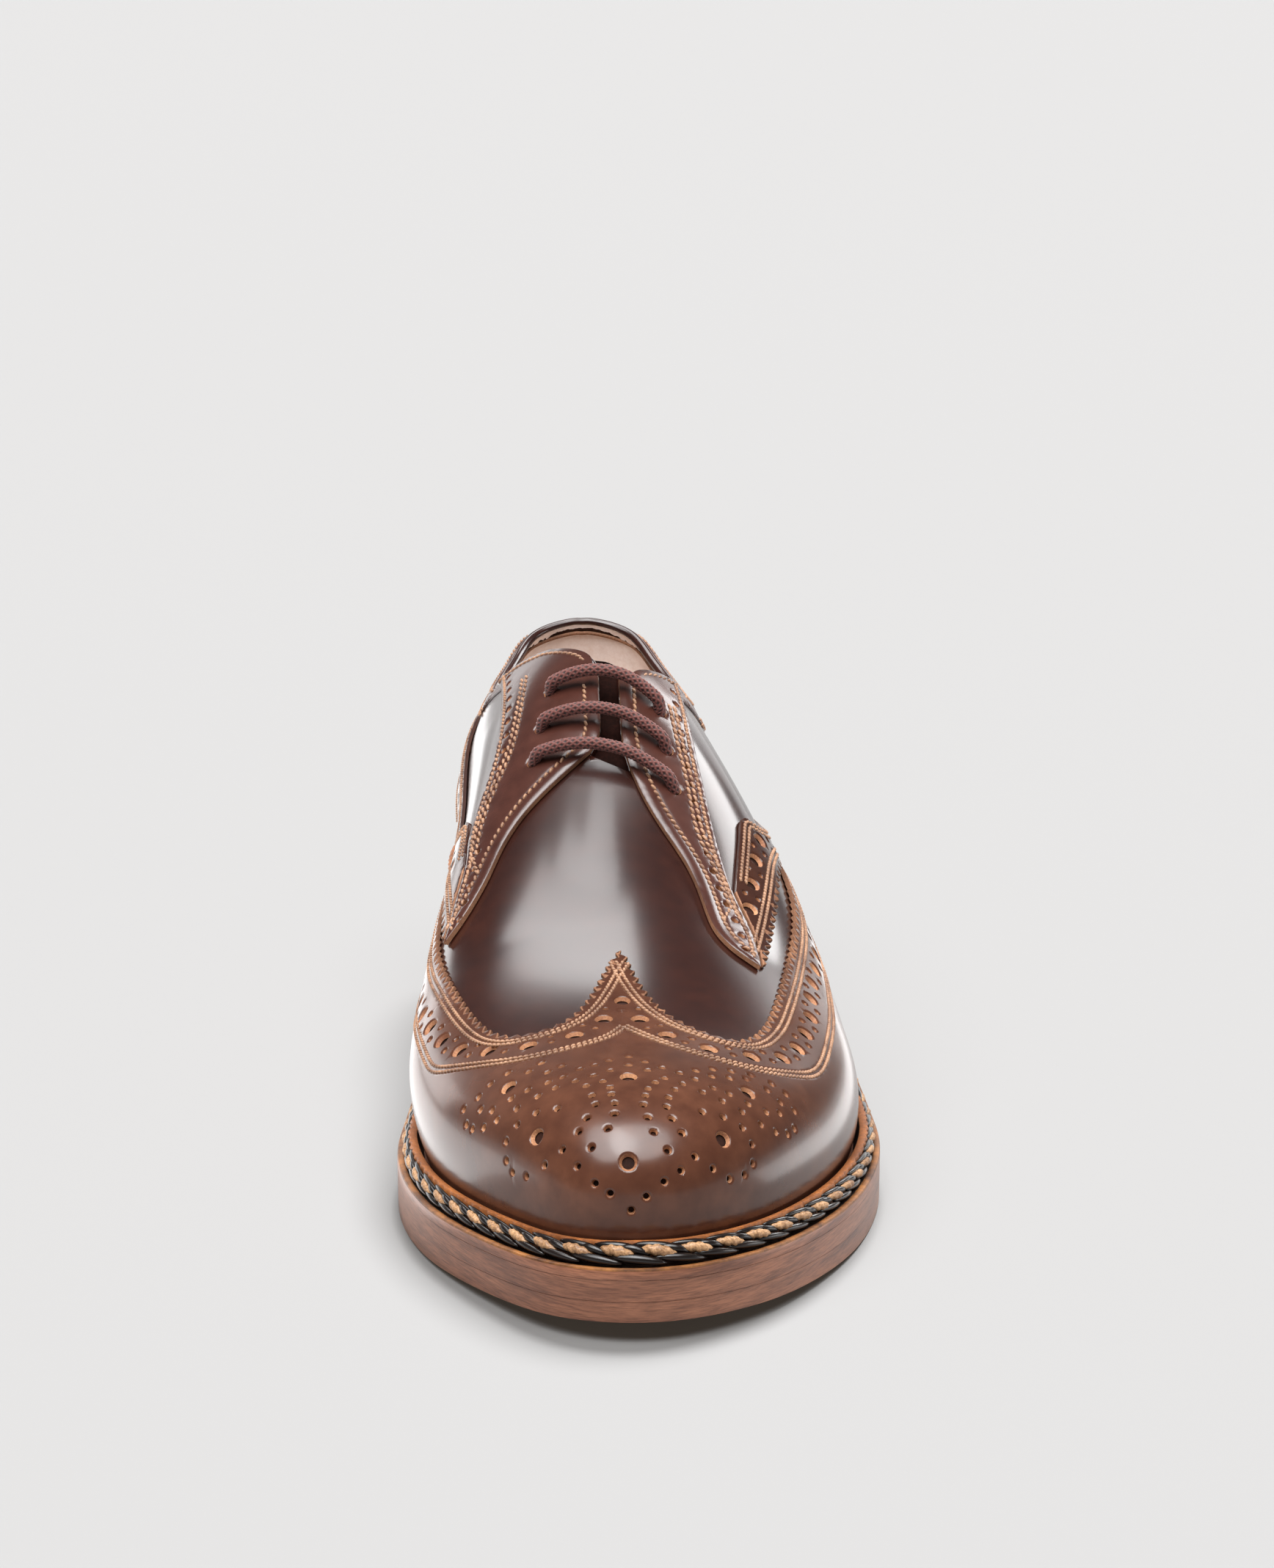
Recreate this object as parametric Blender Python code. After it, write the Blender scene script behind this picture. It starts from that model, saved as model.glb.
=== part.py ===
# Full brogue derby shoe, left foot.
# Sizes below are in millimetres; the mesh is written in metres.
# Toe at -Y, heel at +Y, +X is the outer (lateral) side, floor at Z = 0.

import bpy
import bmesh
import numpy as np
from mathutils import Vector
from mathutils.geometry import delaunay_2d_cdt

for old in list(bpy.data.objects):
    bpy.data.objects.remove(old, do_unlink=True)

MM = 0.001

# Driving sizes of the sole
OUTSOLE_T = 5.0
MIDSOLE_T = 5.2
WELT_T = 2.8
SOLE_T = OUTSOLE_T + MIDSOLE_T + WELT_T
LAYER_GAP = 0.15
HEEL_H = 24.0
TOE_SPRING = 5.0
SPRING_START_Y = -62.0
SPRING_RUN = 93.0
ARCH_START_Y = -38.0
ARCH_RUN = 105.0
BREAST_Y = 74.0
WELT_SIDE = 8.8
WELT_FRONT = 12.3
WELT_HEEL = 5.0
LIP_IN = 2.2
LIP_T = 2.2
LIP_H = 4.2

# Driving sizes of the upper
WALL = 2.0
SKIN_GAP = 0.3
CAP_T = 1.2
FACING_T = 1.5
INSOLE_T = 3.5
TONGUE_TOP = -2.6
TONGUE_T = 1.8
LACE_D = 3.3

# The last: one row per section. y_f, x_in and x_out give the edge where the
# upper meets the welt, x_top, y_top and rise the top of the same section,
# p and b how square each flank is and how far it swells over the edge.
LAST = np.array([
    # y_f   x_in  x_out x_top  y_top   rise  p_in  p_out b_in  b_out
    (-143.0, 0.0, 0.0, 0.0, -143.0, 0.0, 2.20, 2.20, 0.06, 0.06),
    (-137.0, -15.0, 15.5, -1.0, -141.5, 21.7, 2.30, 2.30, 0.08, 0.08),
    (-127.0, -23.0, 26.5, -1.5, -131.0, 31.0, 2.35, 2.35, 0.10, 0.09),
    (-112.0, -31.5, 37.0, -1.5, -115.0, 36.0, 2.40, 2.35, 0.13, 0.10),
    (-95.0, -39.0, 45.5, -0.5, -95.0, 38.0, 2.40, 2.25, 0.17, 0.12),
    (-75.0, -44.0, 52.0, 0.0, -74.0, 40.0, 2.30, 2.10, 0.20, 0.14),
    (-55.0, -45.5, 55.5, 1.0, -50.0, 44.5, 2.30, 2.00, 0.23, 0.15),
    (-30.0, -43.0, 55.5, 1.5, -22.0, 52.6, 2.30, 1.90, 0.26, 0.15),
    (-5.0, -38.5, 52.5, 2.0, 6.0, 61.4, 2.20, 1.85, 0.29, 0.15),
    (25.0, -33.5, 46.5, 3.0, 36.0, 70.5, 2.00, 1.75, 0.30, 0.14),
    (60.0, -31.5, 38.5, 3.0, 67.0, 74.3, 1.90, 1.65, 0.26, 0.12),
    (95.0, -33.0, 34.5, 1.5, 103.0, 73.5, 1.85, 1.75, 0.18, 0.10),
    (120.0, -31.0, 31.0, 0.5, 133.0, 67.5, 1.90, 1.85, 0.12, 0.08),
    (138.0, -22.5, 22.5, 0.0, 148.5, 62.0, 2.00, 2.00, 0.08, 0.06),
    (147.0, -11.5, 11.5, 0.0, 152.5, 29.0, 2.10, 2.10, 0.06, 0.06),
    (150.5, 0.0, 0.0, 0.0, 150.5, 0.0, 2.00, 2.00, 0.06, 0.06)])

# The topline seen from the side: y, z. The front rows are the facing tops.
TOPLINE_IN = [(52.0, 106.5), (56.0, 108.2), (61.0, 108.9), (66.0, 108.4), (73.0, 106.5),
              (81.0, 102.0), (90.0, 95.5), (100.0, 90.5), (110.0, 88.5), (122.0, 89.5),
              (134.0, 94.0), (143.0, 96.8), (150.5, 97.5)]
TOPLINE_OUT = [(49.0, 105.0), (53.0, 106.0), (57.0, 104.5), (63.0, 100.5), (71.0, 96.5),
               (80.0, 92.5), (90.0, 89.0), (100.0, 87.0), (110.0, 86.5), (122.0, 88.5),
               (134.0, 93.8), (143.0, 96.8), (150.5, 97.5)]

# Panel outlines on the unrolled last: a is the distance from the top line
# around the foot (inner side negative), b the distance from the toe along it.
# Front edge of each facing, from the gap at the top to its tip.
FACING_IN = [(-3.2, 230.0), (-3.3, 216.0), (-3.6, 206.0), (-6.0, 200.6), (-11.8, 196.0),
             (-18.1, 191.4), (-24.5, 186.0), (-29.8, 178.6), (-33.4, 170.5), (-37.5, 163.5),
             (-42.0, 158.5), (-46.5, 156.0)]
FACING_OUT = [(1.8, 230.0), (1.9, 216.0), (2.3, 204.0), (4.2, 194.5), (7.2, 186.0),
              (12.4, 175.4), (18.4, 164.0), (21.8, 151.0), (24.0, 141.5), (28.5, 134.5),
              (35.3, 130.5)]
# Back edge of each facing, from its tip to the topline.
FACING_IN_BACK = [(-46.5, 156.0), (-44.0, 170.0), (-41.5, 184.0), (-42.0, 194.0), (-40.0, 205.0),
                  (-36.5, 216.0), (-34.0, 230.0), (-31.5, 243.0)]
FACING_OUT_BACK = [(35.3, 130.5), (34.2, 146.0), (30.0, 161.0), (27.6, 173.0), (25.6, 186.0),
                   (24.2, 198.0), (22.6, 211.0), (21.4, 223.0)]
# Upper edge of the heel foxing, from the facing to the back seam.
FOXING_IN_TOP = [(-42.4, 185.0), (-43.4, 198.0), (-45.0, 208.0), (-50.0, 213.0), (-57.0, 224.0),
                 (-60.0, 242.0), (-57.0, 266.0), (-48.0, 294.0), (-29.0, 328.0), (0.0, 355.0)]
FOXING_OUT_TOP = [(30.9, 162.0), (32.8, 176.0), (35.3, 192.0), (37.5, 199.5), (43.0, 204.0),
                  (52.0, 217.0), (57.0, 238.0), (56.0, 266.0), (48.0, 294.0), (29.0, 328.0),
                  (0.0, 355.0)]
# Pinked front edge of the foxing, from the facing tip down to the welt.
FOXING_IN_FRONT = [(-47.4, 157.5), (-49.0, 168.0), (-52.0, 182.0), (-57.5, 200.0), (-67.0, 218.0),
                   (-82.0, 236.0)]
FOXING_OUT_FRONT = [(36.2, 132.5), (41.6, 157.6), (46.2, 178.6), (50.5, 194.0), (58.0, 210.0),
                    (68.0, 224.0), (82.0, 238.0)]
# Pinked edge of the wing cap, from its peak on the top line back to the foxing.
WING_IN = [(0.0, 124.0), (-3.6, 115.0), (-8.0, 100.0), (-15.5, 88.0), (-26.0, 88.0),
           (-35.0, 102.0), (-41.4, 122.5), (-46.7, 143.0), (-50.8, 161.0), (-54.0, 179.0),
           (-57.5, 199.0)]
WING_OUT = [(0.0, 124.0), (2.6, 113.0), (7.3, 98.5), (15.8, 86.0), (26.3, 83.0),
            (34.5, 95.8), (39.0, 115.4), (45.5, 146.0), (51.5, 171.0), (55.3, 190.0),
            (58.0, 209.0)]
# Eyelet pairs, lowest first: a and b of the inner and the outer one.
EYELETS = [(-21.3, 205.0, 15.7, 191.5), (-19.2, 216.5, 14.0, 205.0), (-16.3, 229.5, 12.7, 219.0)]


def spline(x, y):
    n = len(x)
    h = np.diff(x)
    rows = np.eye(n)
    rhs = np.zeros(y.shape)
    for i in range(1, n - 1):
        rows[i, i - 1:i + 2] = h[i - 1], 2.0 * (h[i - 1] + h[i]), h[i]
        rhs[i] = 6.0 * ((y[i + 1] - y[i]) / h[i] - (y[i] - y[i - 1]) / h[i - 1])
    m = np.linalg.solve(rows, rhs)

    def value(t):
        t = np.asarray(t, float)
        i = np.clip(np.searchsorted(x, t) - 1, 0, n - 2)
        d = (t - x[i])[..., None]
        e = (x[i + 1] - t)[..., None]
        k = h[i][..., None]
        cubic = (m[i] * e ** 3 + m[i + 1] * d ** 3) / (6.0 * k)
        return cubic + (y[i] / k - m[i] * k / 6.0) * e + (y[i + 1] / k - m[i + 1] * k / 6.0) * d
    return value


MID = (LAST[0, 0] + LAST[-1, 0]) / 2.0
HALF = (LAST[-1, 0] - LAST[0, 0]) / 2.0
LAST_AT = spline(np.arccos(np.clip((MID - LAST[:, 0]) / HALF, -1.0, 1.0)), LAST[:, 1:])


def bottom_z(y):
    y = np.asarray(y, float)
    toe = TOE_SPRING * np.clip((SPRING_START_Y - y) / SPRING_RUN, 0.0, None) ** 2
    t = np.clip((y - ARCH_START_Y) / ARCH_RUN, 0.0, 1.0)
    return toe + HEEL_H * t * t * (3.0 - 2.0 * t)


def last_point(u, phi, side):
    u = np.asarray(u, float)
    theta = np.pi * u
    x_in, x_out, x_top, y_top, rise, p_in, p_out, b_in, b_out = np.moveaxis(LAST_AT(theta), -1, 0)
    y_f = MID - HALF * np.cos(theta)
    inner = np.asarray(side) < 0
    x_f = np.where(inner, x_in, x_out)
    power = 2.0 / np.where(inner, p_in, p_out)
    swell = np.where(inner, b_in, b_out)
    c = np.clip(np.cos(phi), 0.0, None) ** power
    s = np.clip(np.sin(phi), 0.0, None) ** power
    x = x_top + (x_f - x_top) * c * (1.0 + swell * np.sin(2.0 * phi))
    y = y_f + (y_top - y_f) * s
    z = bottom_z(y_f) + SOLE_T + LAYER_GAP + rise * s
    return np.stack([x, y, z], -1)


# Tables that unroll the last: lengths along the top line and around each side
N_U = 361
N_PHI = 121
U_TAB = np.linspace(0.0, 1.0, N_U)
PHI_TAB = np.linspace(np.pi / 2.0, 0.0, N_PHI)
GIRTH = {}
for hand in (-1, 1):
    grid = last_point(U_TAB[:, None], PHI_TAB[None, :], np.full((N_U, N_PHI), hand))
    steps = np.linalg.norm(np.diff(grid, axis=1), axis=2)
    GIRTH[hand] = np.concatenate([np.zeros((N_U, 1)), np.cumsum(steps, axis=1)], axis=1)
ridge = last_point(U_TAB, np.full(N_U, np.pi / 2.0), np.ones(N_U))
B_TAB = np.concatenate([[0.0], np.cumsum(np.linalg.norm(np.diff(ridge, axis=0), axis=1))])
B_MAX = B_TAB[-1]


def girth_at(b, hand):
    return np.interp(b, B_TAB, GIRTH[hand][:, -1])


def to_u_phi(a, b):
    u = np.interp(b, B_TAB, U_TAB)
    phi = np.empty(len(a))
    side = np.where(np.asarray(a) < 0, -1, 1)
    for k in range(len(a)):
        f = u[k] * (N_U - 1)
        i = min(int(f), N_U - 2)
        f -= i
        g = GIRTH[side[k]]
        row = g[i] * (1.0 - f) + g[i + 1] * f
        phi[k] = np.interp(abs(a[k]), row, PHI_TAB)
    return u, phi, side


def normals(u, phi, side):
    uc = np.clip(u, 0.012, 0.988)
    d_u = last_point(uc + 0.004, phi, side) - last_point(uc - 0.004, phi, side)
    hi = np.clip(phi + 0.03, 0.0, np.pi / 2.0)
    lo = np.clip(phi - 0.03, 0.0, np.pi / 2.0)
    d_p = last_point(uc, lo, side) - last_point(uc, hi, side)
    n = np.cross(d_p, d_u) * side[:, None]
    n /= np.linalg.norm(n, axis=1)[:, None]
    n[:, 2] *= np.clip(phi / 0.15, 0.0, 1.0)
    n /= np.linalg.norm(n, axis=1)[:, None]
    n[u < 0.006] = (0.0, -1.0, 0.0)
    n[u > 0.994] = (0.0, 1.0, 0.0)
    return n


def place(ab, h):
    ab = np.asarray(ab, float)
    u, phi, side = to_u_phi(ab[:, 0], ab[:, 1])
    return last_point(u, phi, side) + normals(u, phi, side) * h


def smooth(points, step):
    """Points along a soft curve through the given ones, about step apart."""
    p = np.asarray(points, float)
    t = np.concatenate([[0.0], np.cumsum(np.linalg.norm(np.diff(p, axis=0), axis=1) ** 0.5)])
    fine = spline(t, p)(np.linspace(0.0, t[-1], 400))
    run = np.concatenate([[0.0], np.cumsum(np.linalg.norm(np.diff(fine, axis=0), axis=1))])
    n = max(2, int(round(run[-1] / step)) + 1)
    at = np.linspace(0.0, run[-1], n)
    return np.stack([np.interp(at, run, fine[:, i]) for i in (0, 1)], -1)


def join(*runs):
    """One closed loop from runs laid end to end, shared ends kept once."""
    out = [np.asarray(runs[0], float)]
    for r in runs[1:]:
        r = np.asarray(r, float)
        out.append(r[1:] if np.linalg.norm(r[0] - out[-1][-1]) < 0.3 else r)
    loop = np.concatenate(out)
    if np.linalg.norm(loop[0] - loop[-1]) < 0.3:
        loop = loop[:-1]
    return loop


def inside(points, loop):
    x, y = points[:, 0], points[:, 1]
    hit = np.zeros(len(points), bool)
    for (x0, y0), (x1, y1) in zip(loop, np.roll(loop, -1, axis=0)):
        cross = (y0 > y) != (y1 > y)
        with np.errstate(divide="ignore", invalid="ignore"):
            at = x0 + (y - y0) * (x1 - x0) / (y1 - y0)
        hit ^= cross & (x < at)
    return hit


def clear_of(points, loop, gap):
    a = loop
    d = np.roll(loop, -1, axis=0) - a
    keep = np.ones(len(points), bool)
    for p, v in zip(a, d):
        w = points - p
        t = np.clip((w @ v) / max(v @ v, 1e-9), 0.0, 1.0)
        keep &= np.linalg.norm(w - t[:, None] * v, axis=1) > gap
    return keep


def triangulate(loops, step):
    """Triangles over the unrolled last: every loop plus an even field of points."""
    field = []
    for j in range(int(B_MAX / (step * 0.866)) + 1):
        b = j * step * 0.866
        shift = 0.5 * step * (j % 2)
        field += [(i * step + shift, b) for i in range(-13, 14)]
    field = np.array(field)
    field = field[inside(field, loops[0])]
    for loop in loops:
        field = field[clear_of(field, loop, 0.55 * step)]
    points = np.concatenate(loops + [field])
    edges = []
    start = 0
    for loop in loops:
        n = len(loop)
        edges += [(start + i, start + (i + 1) % n) for i in range(n)]
        start += n
    out = delaunay_2d_cdt([Vector(p) for p in points], edges, [], 0, 1e-5)
    verts = np.array([tuple(v) for v in out[0]])
    tris = np.array([tuple(f) for f in out[2]])
    e1 = verts[tris[:, 1]] - verts[tris[:, 0]]
    e2 = verts[tris[:, 2]] - verts[tris[:, 0]]
    turn = e1[:, 0] * e2[:, 1] - e1[:, 1] * e2[:, 0]
    tris[turn < 0] = tris[turn < 0][:, ::-1]
    return verts, tris[np.abs(turn) > 1e-6]


def part_of(verts, tris, outer, holes):
    """The triangles inside one loop and outside its holes."""
    mid = verts[tris].mean(axis=1)
    keep = inside(mid, outer)
    for hole in holes:
        keep &= ~inside(mid, hole)
    tris = tris[keep]
    used = np.unique(tris)
    index = np.full(len(verts), -1)
    index[used] = np.arange(len(used))
    return verts[used], index[tris]


def shell_mesh(ab, tris, low, high):
    """A closed skin over a panel between two heights above the last."""
    n = len(ab)
    verts = np.concatenate([place(ab, high), place(ab, low)])
    faces = [tuple(t) for t in tris] + [tuple(t[::-1] + n) for t in tris]
    count = {}
    for t in tris:
        for i in range(3):
            count[(t[i], t[(i + 1) % 3])] = True
    for i, j in list(count):
        if (j, i) not in count:
            faces += [(j, i, i + n), (j, i + n, j + n)]
    return verts, faces


COLLECTION = bpy.data.collections.new("full_brogue_derby_shoe")
bpy.context.scene.collection.children.link(COLLECTION)


def add_piece(name, verts, faces, colour, roughness):
    mesh = bpy.data.meshes.new(name)
    placed = (np.asarray(verts) - CENTRE) * MM
    mesh.from_pydata([tuple(v) for v in placed], [], [tuple(map(int, f)) for f in faces])
    bm = bmesh.new()
    bm.from_mesh(mesh)
    bmesh.ops.remove_doubles(bm, verts=bm.verts, dist=0.00001)
    bmesh.ops.triangulate(bm, faces=bm.faces)
    bmesh.ops.recalc_face_normals(bm, faces=bm.faces)
    bm.to_mesh(mesh)
    bm.free()
    mat = bpy.data.materials.new(name)
    mat.use_nodes = True
    bsdf = mat.node_tree.nodes["Principled BSDF"]
    bsdf.inputs["Base Color"].default_value = (*colour, 1.0)
    bsdf.inputs["Roughness"].default_value = roughness
    mesh.materials.append(mat)
    COLLECTION.objects.link(bpy.data.objects.new(name, mesh))


# Stations of the sole: the edge of the upper and how far the sole stands out
N_SOLE = 46
u_sole = np.linspace(0.0, 1.0, N_SOLE + 1)
edge_out = last_point(u_sole, np.zeros(N_SOLE + 1), np.ones(N_SOLE + 1))[:, :2]
edge_in = last_point(u_sole, np.zeros(N_SOLE + 1), -np.ones(N_SOLE + 1))[:, :2]
EDGE = np.concatenate([edge_out, edge_in[-2:0:-1]])
u_fine = np.linspace(0.0, 1.0, 481)
fine_out = last_point(u_fine, np.zeros(481), np.ones(481))[:, :2]
fine_in = last_point(u_fine, np.zeros(481), -np.ones(481))[:, :2]
FINE = np.concatenate([fine_out, fine_in[-2:0:-1]])
tangent = np.roll(FINE, -6, axis=0) - np.roll(FINE, 6, axis=0)
fine_n = np.stack([tangent[:, 1], -tangent[:, 0]], -1)
fine_n /= np.linalg.norm(fine_n, axis=1)[:, None]
nearest = [int(np.argmin(((FINE - p) ** 2).sum(axis=1))) for p in EDGE]
OUTWARD = fine_n[nearest]
t_heel = np.clip((EDGE[:, 1] + 20.0) / 110.0, 0.0, 1.0)
t_heel = t_heel * t_heel * (3.0 - 2.0 * t_heel)
reach = WELT_SIDE + (WELT_FRONT - WELT_SIDE) * np.clip(-OUTWARD[:, 1], 0.0, None) ** 2
REACH = reach + (WELT_HEEL - reach) * t_heel
N_LOOP = len(EDGE)
plan = EDGE + OUTWARD * REACH[:, None]
CENTRE = np.array((*(plan.min(axis=0) + plan.max(axis=0)) / 2.0, 0.0))


def ring(offset, height):
    """Points round the sole at an offset from the upper's edge."""
    xy = EDGE + OUTWARD * np.asarray(offset, float).reshape(-1, 1)
    return np.column_stack([xy, bottom_z(xy[:, 1]) + height])


def slab(offset, low, high):
    """A flat layer of the sole; its outer side is one ring at each height."""
    rings = [ring(offset, low), ring(offset, high)]
    verts = np.concatenate(rings)
    n = N_LOOP
    faces = []
    for i in range(n):
        j = (i + 1) % n
        faces.append((i, j, n + j, n + i))
    for i in range(N_SOLE):
        a, b = i, i + 1
        c, d = (n - i - 1) % n, (n - i) % n
        quad = []
        for v in (a, b, c, d):
            if v not in quad:
                quad.append(v)
        faces.append(tuple(quad[::-1]))
        faces.append(tuple(v + n for v in quad))
    return verts, faces


def swept(profile):
    """A closed ring round the shoe from profile rings in order."""
    verts = np.concatenate(profile)
    n = N_LOOP
    k = len(profile)
    faces = []
    for r in range(k):
        s = (r + 1) % k
        for i in range(n):
            j = (i + 1) % n
            faces.append((r * n + i, r * n + j, s * n + j, s * n + i))
    return verts, faces


LEATHER_SOLE = (0.16, 0.075, 0.045)
LEATHER_DARK = (0.055, 0.018, 0.012)
LEATHER_CAP = (0.075, 0.024, 0.014)
LEATHER_TAN = (0.36, 0.22, 0.13)
WELT_ORANGE = (0.33, 0.13, 0.045)

# Outsole: the leather layer on the floor, with the arch and the toe spring
add_piece("outsole", *slab(REACH - 0.4, 0.0, OUTSOLE_T - LAYER_GAP), LEATHER_SOLE, 0.5)

# Midsole: the middle layer, edge flush with the welt
add_piece("midsole", *slab(REACH - 0.2, OUTSOLE_T, OUTSOLE_T + MIDSOLE_T - LAYER_GAP), LEATHER_SOLE, 0.5)

# Welt: a strip round the shoe with a raised lip against the upper
phi_low = np.linspace(0.0, 0.5, 60)[None, :]
low_skin = np.concatenate([last_point(U_TAB[:, None], phi_low, np.full((N_U, 60), hand)).reshape(-1, 3)
                           for hand in (-1, 1)])
low_skin = low_skin[low_skin[:, 2] - bottom_z(low_skin[:, 1]) - SOLE_T < LIP_H + 0.6]
lean = np.zeros(N_LOOP)
for i in range(N_LOOP):
    rel = low_skin[:, :2] - EDGE[i]
    along = np.abs(rel[:, 0] * OUTWARD[i, 1] - rel[:, 1] * OUTWARD[i, 0])
    lean[i] = max(0.0, (rel[along < 3.0] @ OUTWARD[i]).max())
base = OUTSOLE_T + MIDSOLE_T
top = SOLE_T
welt = [ring(np.full(N_LOOP, -8.0), base), ring(REACH, base), ring(REACH, top),
        ring(np.full(N_LOOP, LIP_IN + LIP_T + 0.6), top), ring(LIP_IN + LIP_T + lean, top + LIP_H),
        ring(LIP_IN + lean, top + LIP_H), ring(np.full(N_LOOP, LIP_IN), top),
        ring(np.full(N_LOOP, -8.0), top)]
add_piece("welt", *swept(welt), WELT_ORANGE, 0.55)

# Heel: the stacked leather block under the seat, flat top and flat foot
heel_edge = EDGE + OUTWARD * (REACH - 0.6)[:, None]
order = [i for i in range(N_LOOP) if heel_edge[i, 1] > BREAST_Y + 2.0]
x_at = [np.interp(BREAST_Y, *zip(*sorted((p[1], p[0]) for p in side)))
        for side in (heel_edge[:N_SOLE + 1], heel_edge[N_SOLE:])]
plan = np.array([(x_at[0], BREAST_Y)] + [tuple(heel_edge[i]) for i in order] + [(x_at[1], BREAST_Y)])
centre = plan.mean(axis=0)
foot_plan = centre + (plan - centre) * np.array((0.965, 0.985))
foot_plan[[0, -1], 1] = BREAST_Y + 1.0
m = len(plan)
verts = np.concatenate([np.column_stack([foot_plan, np.zeros(m)]),
                        np.column_stack([plan, np.full(m, HEEL_H - LAYER_GAP)])])
faces = [tuple(range(m))[::-1], tuple(range(m, 2 * m))]
faces += [(i, (i + 1) % m, m + (i + 1) % m, m + i) for i in range(m)]
add_piece("heel", verts, faces, LEATHER_SOLE, 0.5)

# Insole: the leather footbed, resting on the inner edge of the welt
add_piece("insole", *slab(np.full(N_LOOP, -WALL - 1.0), SOLE_T + LAYER_GAP, SOLE_T + LAYER_GAP + INSOLE_T),
          LEATHER_TAN, 0.7)


def topline(hand):
    """The topline on the unrolled last, from the facing top to the back seam."""
    rows = np.array(TOPLINE_IN if hand < 0 else TOPLINE_OUT)
    out = []
    for u in np.linspace(0.5, 1.0, 501):
        phi = np.linspace(0.0, np.pi / 2.0, 241)
        p = last_point(np.full(241, u), phi, np.full(241, hand))
        over = p[:, 2] - np.interp(p[:, 1], rows[:, 0], rows[:, 1])
        over[p[:, 1] < rows[0, 0]] = -1.0
        if over.max() <= 0.0:
            continue
        k = int(np.argmax(over > 0.0))
        t = over[k - 1] / (over[k - 1] - over[k]) if k and over[k - 1] > -0.9 else 1.0
        at = phi[k - 1] + t * (phi[k] - phi[k - 1])
        row = GIRTH[hand][min(int(u * (N_U - 1)), N_U - 1)]
        a = np.interp(-at, -PHI_TAB, row)
        out.append((hand * a, np.interp(u, U_TAB, B_TAB)))
    return np.array(out)


top_in = topline(-1)
top_out = topline(1)
b_back = max(top_in[:, 1].max(), top_out[:, 1].max())


def thin(points, step):
    run = np.concatenate([[0.0], np.cumsum(np.linalg.norm(np.diff(points, axis=0), axis=1))])
    n = max(2, int(round(run[-1] / step)) + 1)
    at = np.linspace(0.0, run[-1], n)
    return np.stack([np.interp(at, run, points[:, i]) for i in (0, 1)], -1)


STEP = 8.5


def gap_run(rows):
    """The straight part of a facing's front edge, from the throat upwards."""
    return smooth(np.array(rows)[3::-1], 6.0)


gap_in = gap_run(FACING_IN)
gap_out = gap_run(FACING_OUT)
top_in = top_in[(np.abs(top_in[:, 0]) > 3.8) | (top_in[:, 1] > 300.0)]
top_out = top_out[(np.abs(top_out[:, 0]) > 2.4) | (top_out[:, 1] > 300.0)]
collar_in = thin(np.concatenate([top_in, [(0.0, b_back)]]), 6.0)
collar_out = thin(np.concatenate([top_out, [(0.0, b_back)]]), 6.0)
throat = join(gap_in, collar_in, collar_out[::-1], gap_out[::-1])

def on_edge(b, hand):
    """The end of a panel edge, moved out to the welt."""
    return hand * girth_at(b, hand), b


def front_of_foxing(rows, hand, shift):
    pts = [(a, b - shift) for a, b in rows[:-1]]
    return pts + [on_edge(rows[-1][1] - shift, hand)]


def u_of(b):
    return float(np.interp(b, B_TAB, U_TAB))


# Outlines of every panel on the unrolled last
rim_u = np.linspace(0.0, 1.0, 49)
rear_in = front_of_foxing(FOXING_IN_FRONT, -1, 1.0)
rear_out = front_of_foxing(FOXING_OUT_FRONT, 1, 1.0)
front_in = front_of_foxing(FOXING_IN_FRONT, -1, 0.0)
front_out = front_of_foxing(FOXING_OUT_FRONT, 1, 0.0)
cuts = {hand: [u_of(r[-1][1]) for r in rows] for hand, rows in
        ((-1, (rear_in, front_in)), (1, (rear_out, front_out)))}


def edge_run(u0, u1, hand):
    """Part of the edge at the welt between two sections, at shared stations."""
    keep = [u for u in rim_u if min(abs(u - c) for c in cuts[hand]) > 0.004]
    u = np.array([v for v in sorted(keep + cuts[hand]) if min(u0, u1) - 1e-6 <= v <= max(u0, u1) + 1e-6])
    if u1 < u0:
        u = u[::-1]
    return np.stack([hand * np.interp(u, U_TAB, GIRTH[hand][:, -1]), np.interp(u, U_TAB, B_TAB)], -1)


rim = join(edge_run(0.0, 1.0, 1), edge_run(1.0, 0.0, -1))
wing = join(edge_run(0.0, cuts[1][0], 1), smooth(rear_out[-3:], 8.0)[::-1],
            smooth(WING_OUT, 7.5)[::-1], smooth(WING_IN, 7.5), smooth(rear_in[-3:], 8.0),
            edge_run(cuts[-1][0], 0.0, -1))
side_in = smooth([(-47.4, 157.5), (-44.9, 171.0), FOXING_IN_TOP[0]], 8.0)
side_out = smooth([(36.2, 132.5), (35.1, 147.0), FOXING_OUT_TOP[0]], 8.0)
foxing = join(edge_run(cuts[1][1], 1.0, 1), edge_run(1.0, cuts[-1][1], -1),
              smooth(front_in, 8.0)[::-1], side_in, smooth(FOXING_IN_TOP, 8.0),
              smooth(FOXING_OUT_TOP, 8.0)[::-1], side_out[::-1], smooth(front_out, 8.0))
facings = []
for front, rear, top in ((FACING_IN, FACING_IN_BACK, collar_in), (FACING_OUT, FACING_OUT_BACK, collar_out)):
    at = int(np.argmin(np.abs(np.abs(top[:12, 0]) - abs(rear[-1][0]))))
    run = gap_in if front is FACING_IN else gap_out
    edge = np.concatenate([smooth(front[3:], 7.0)[::-1], run[1:]])
    facings.append(join(edge, top[:at + 1], smooth(rear[:-1] + [tuple(top[at])], 8.0)[::-1]))
ab, tris = triangulate([rim, throat, wing, foxing] + facings, STEP)

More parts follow.
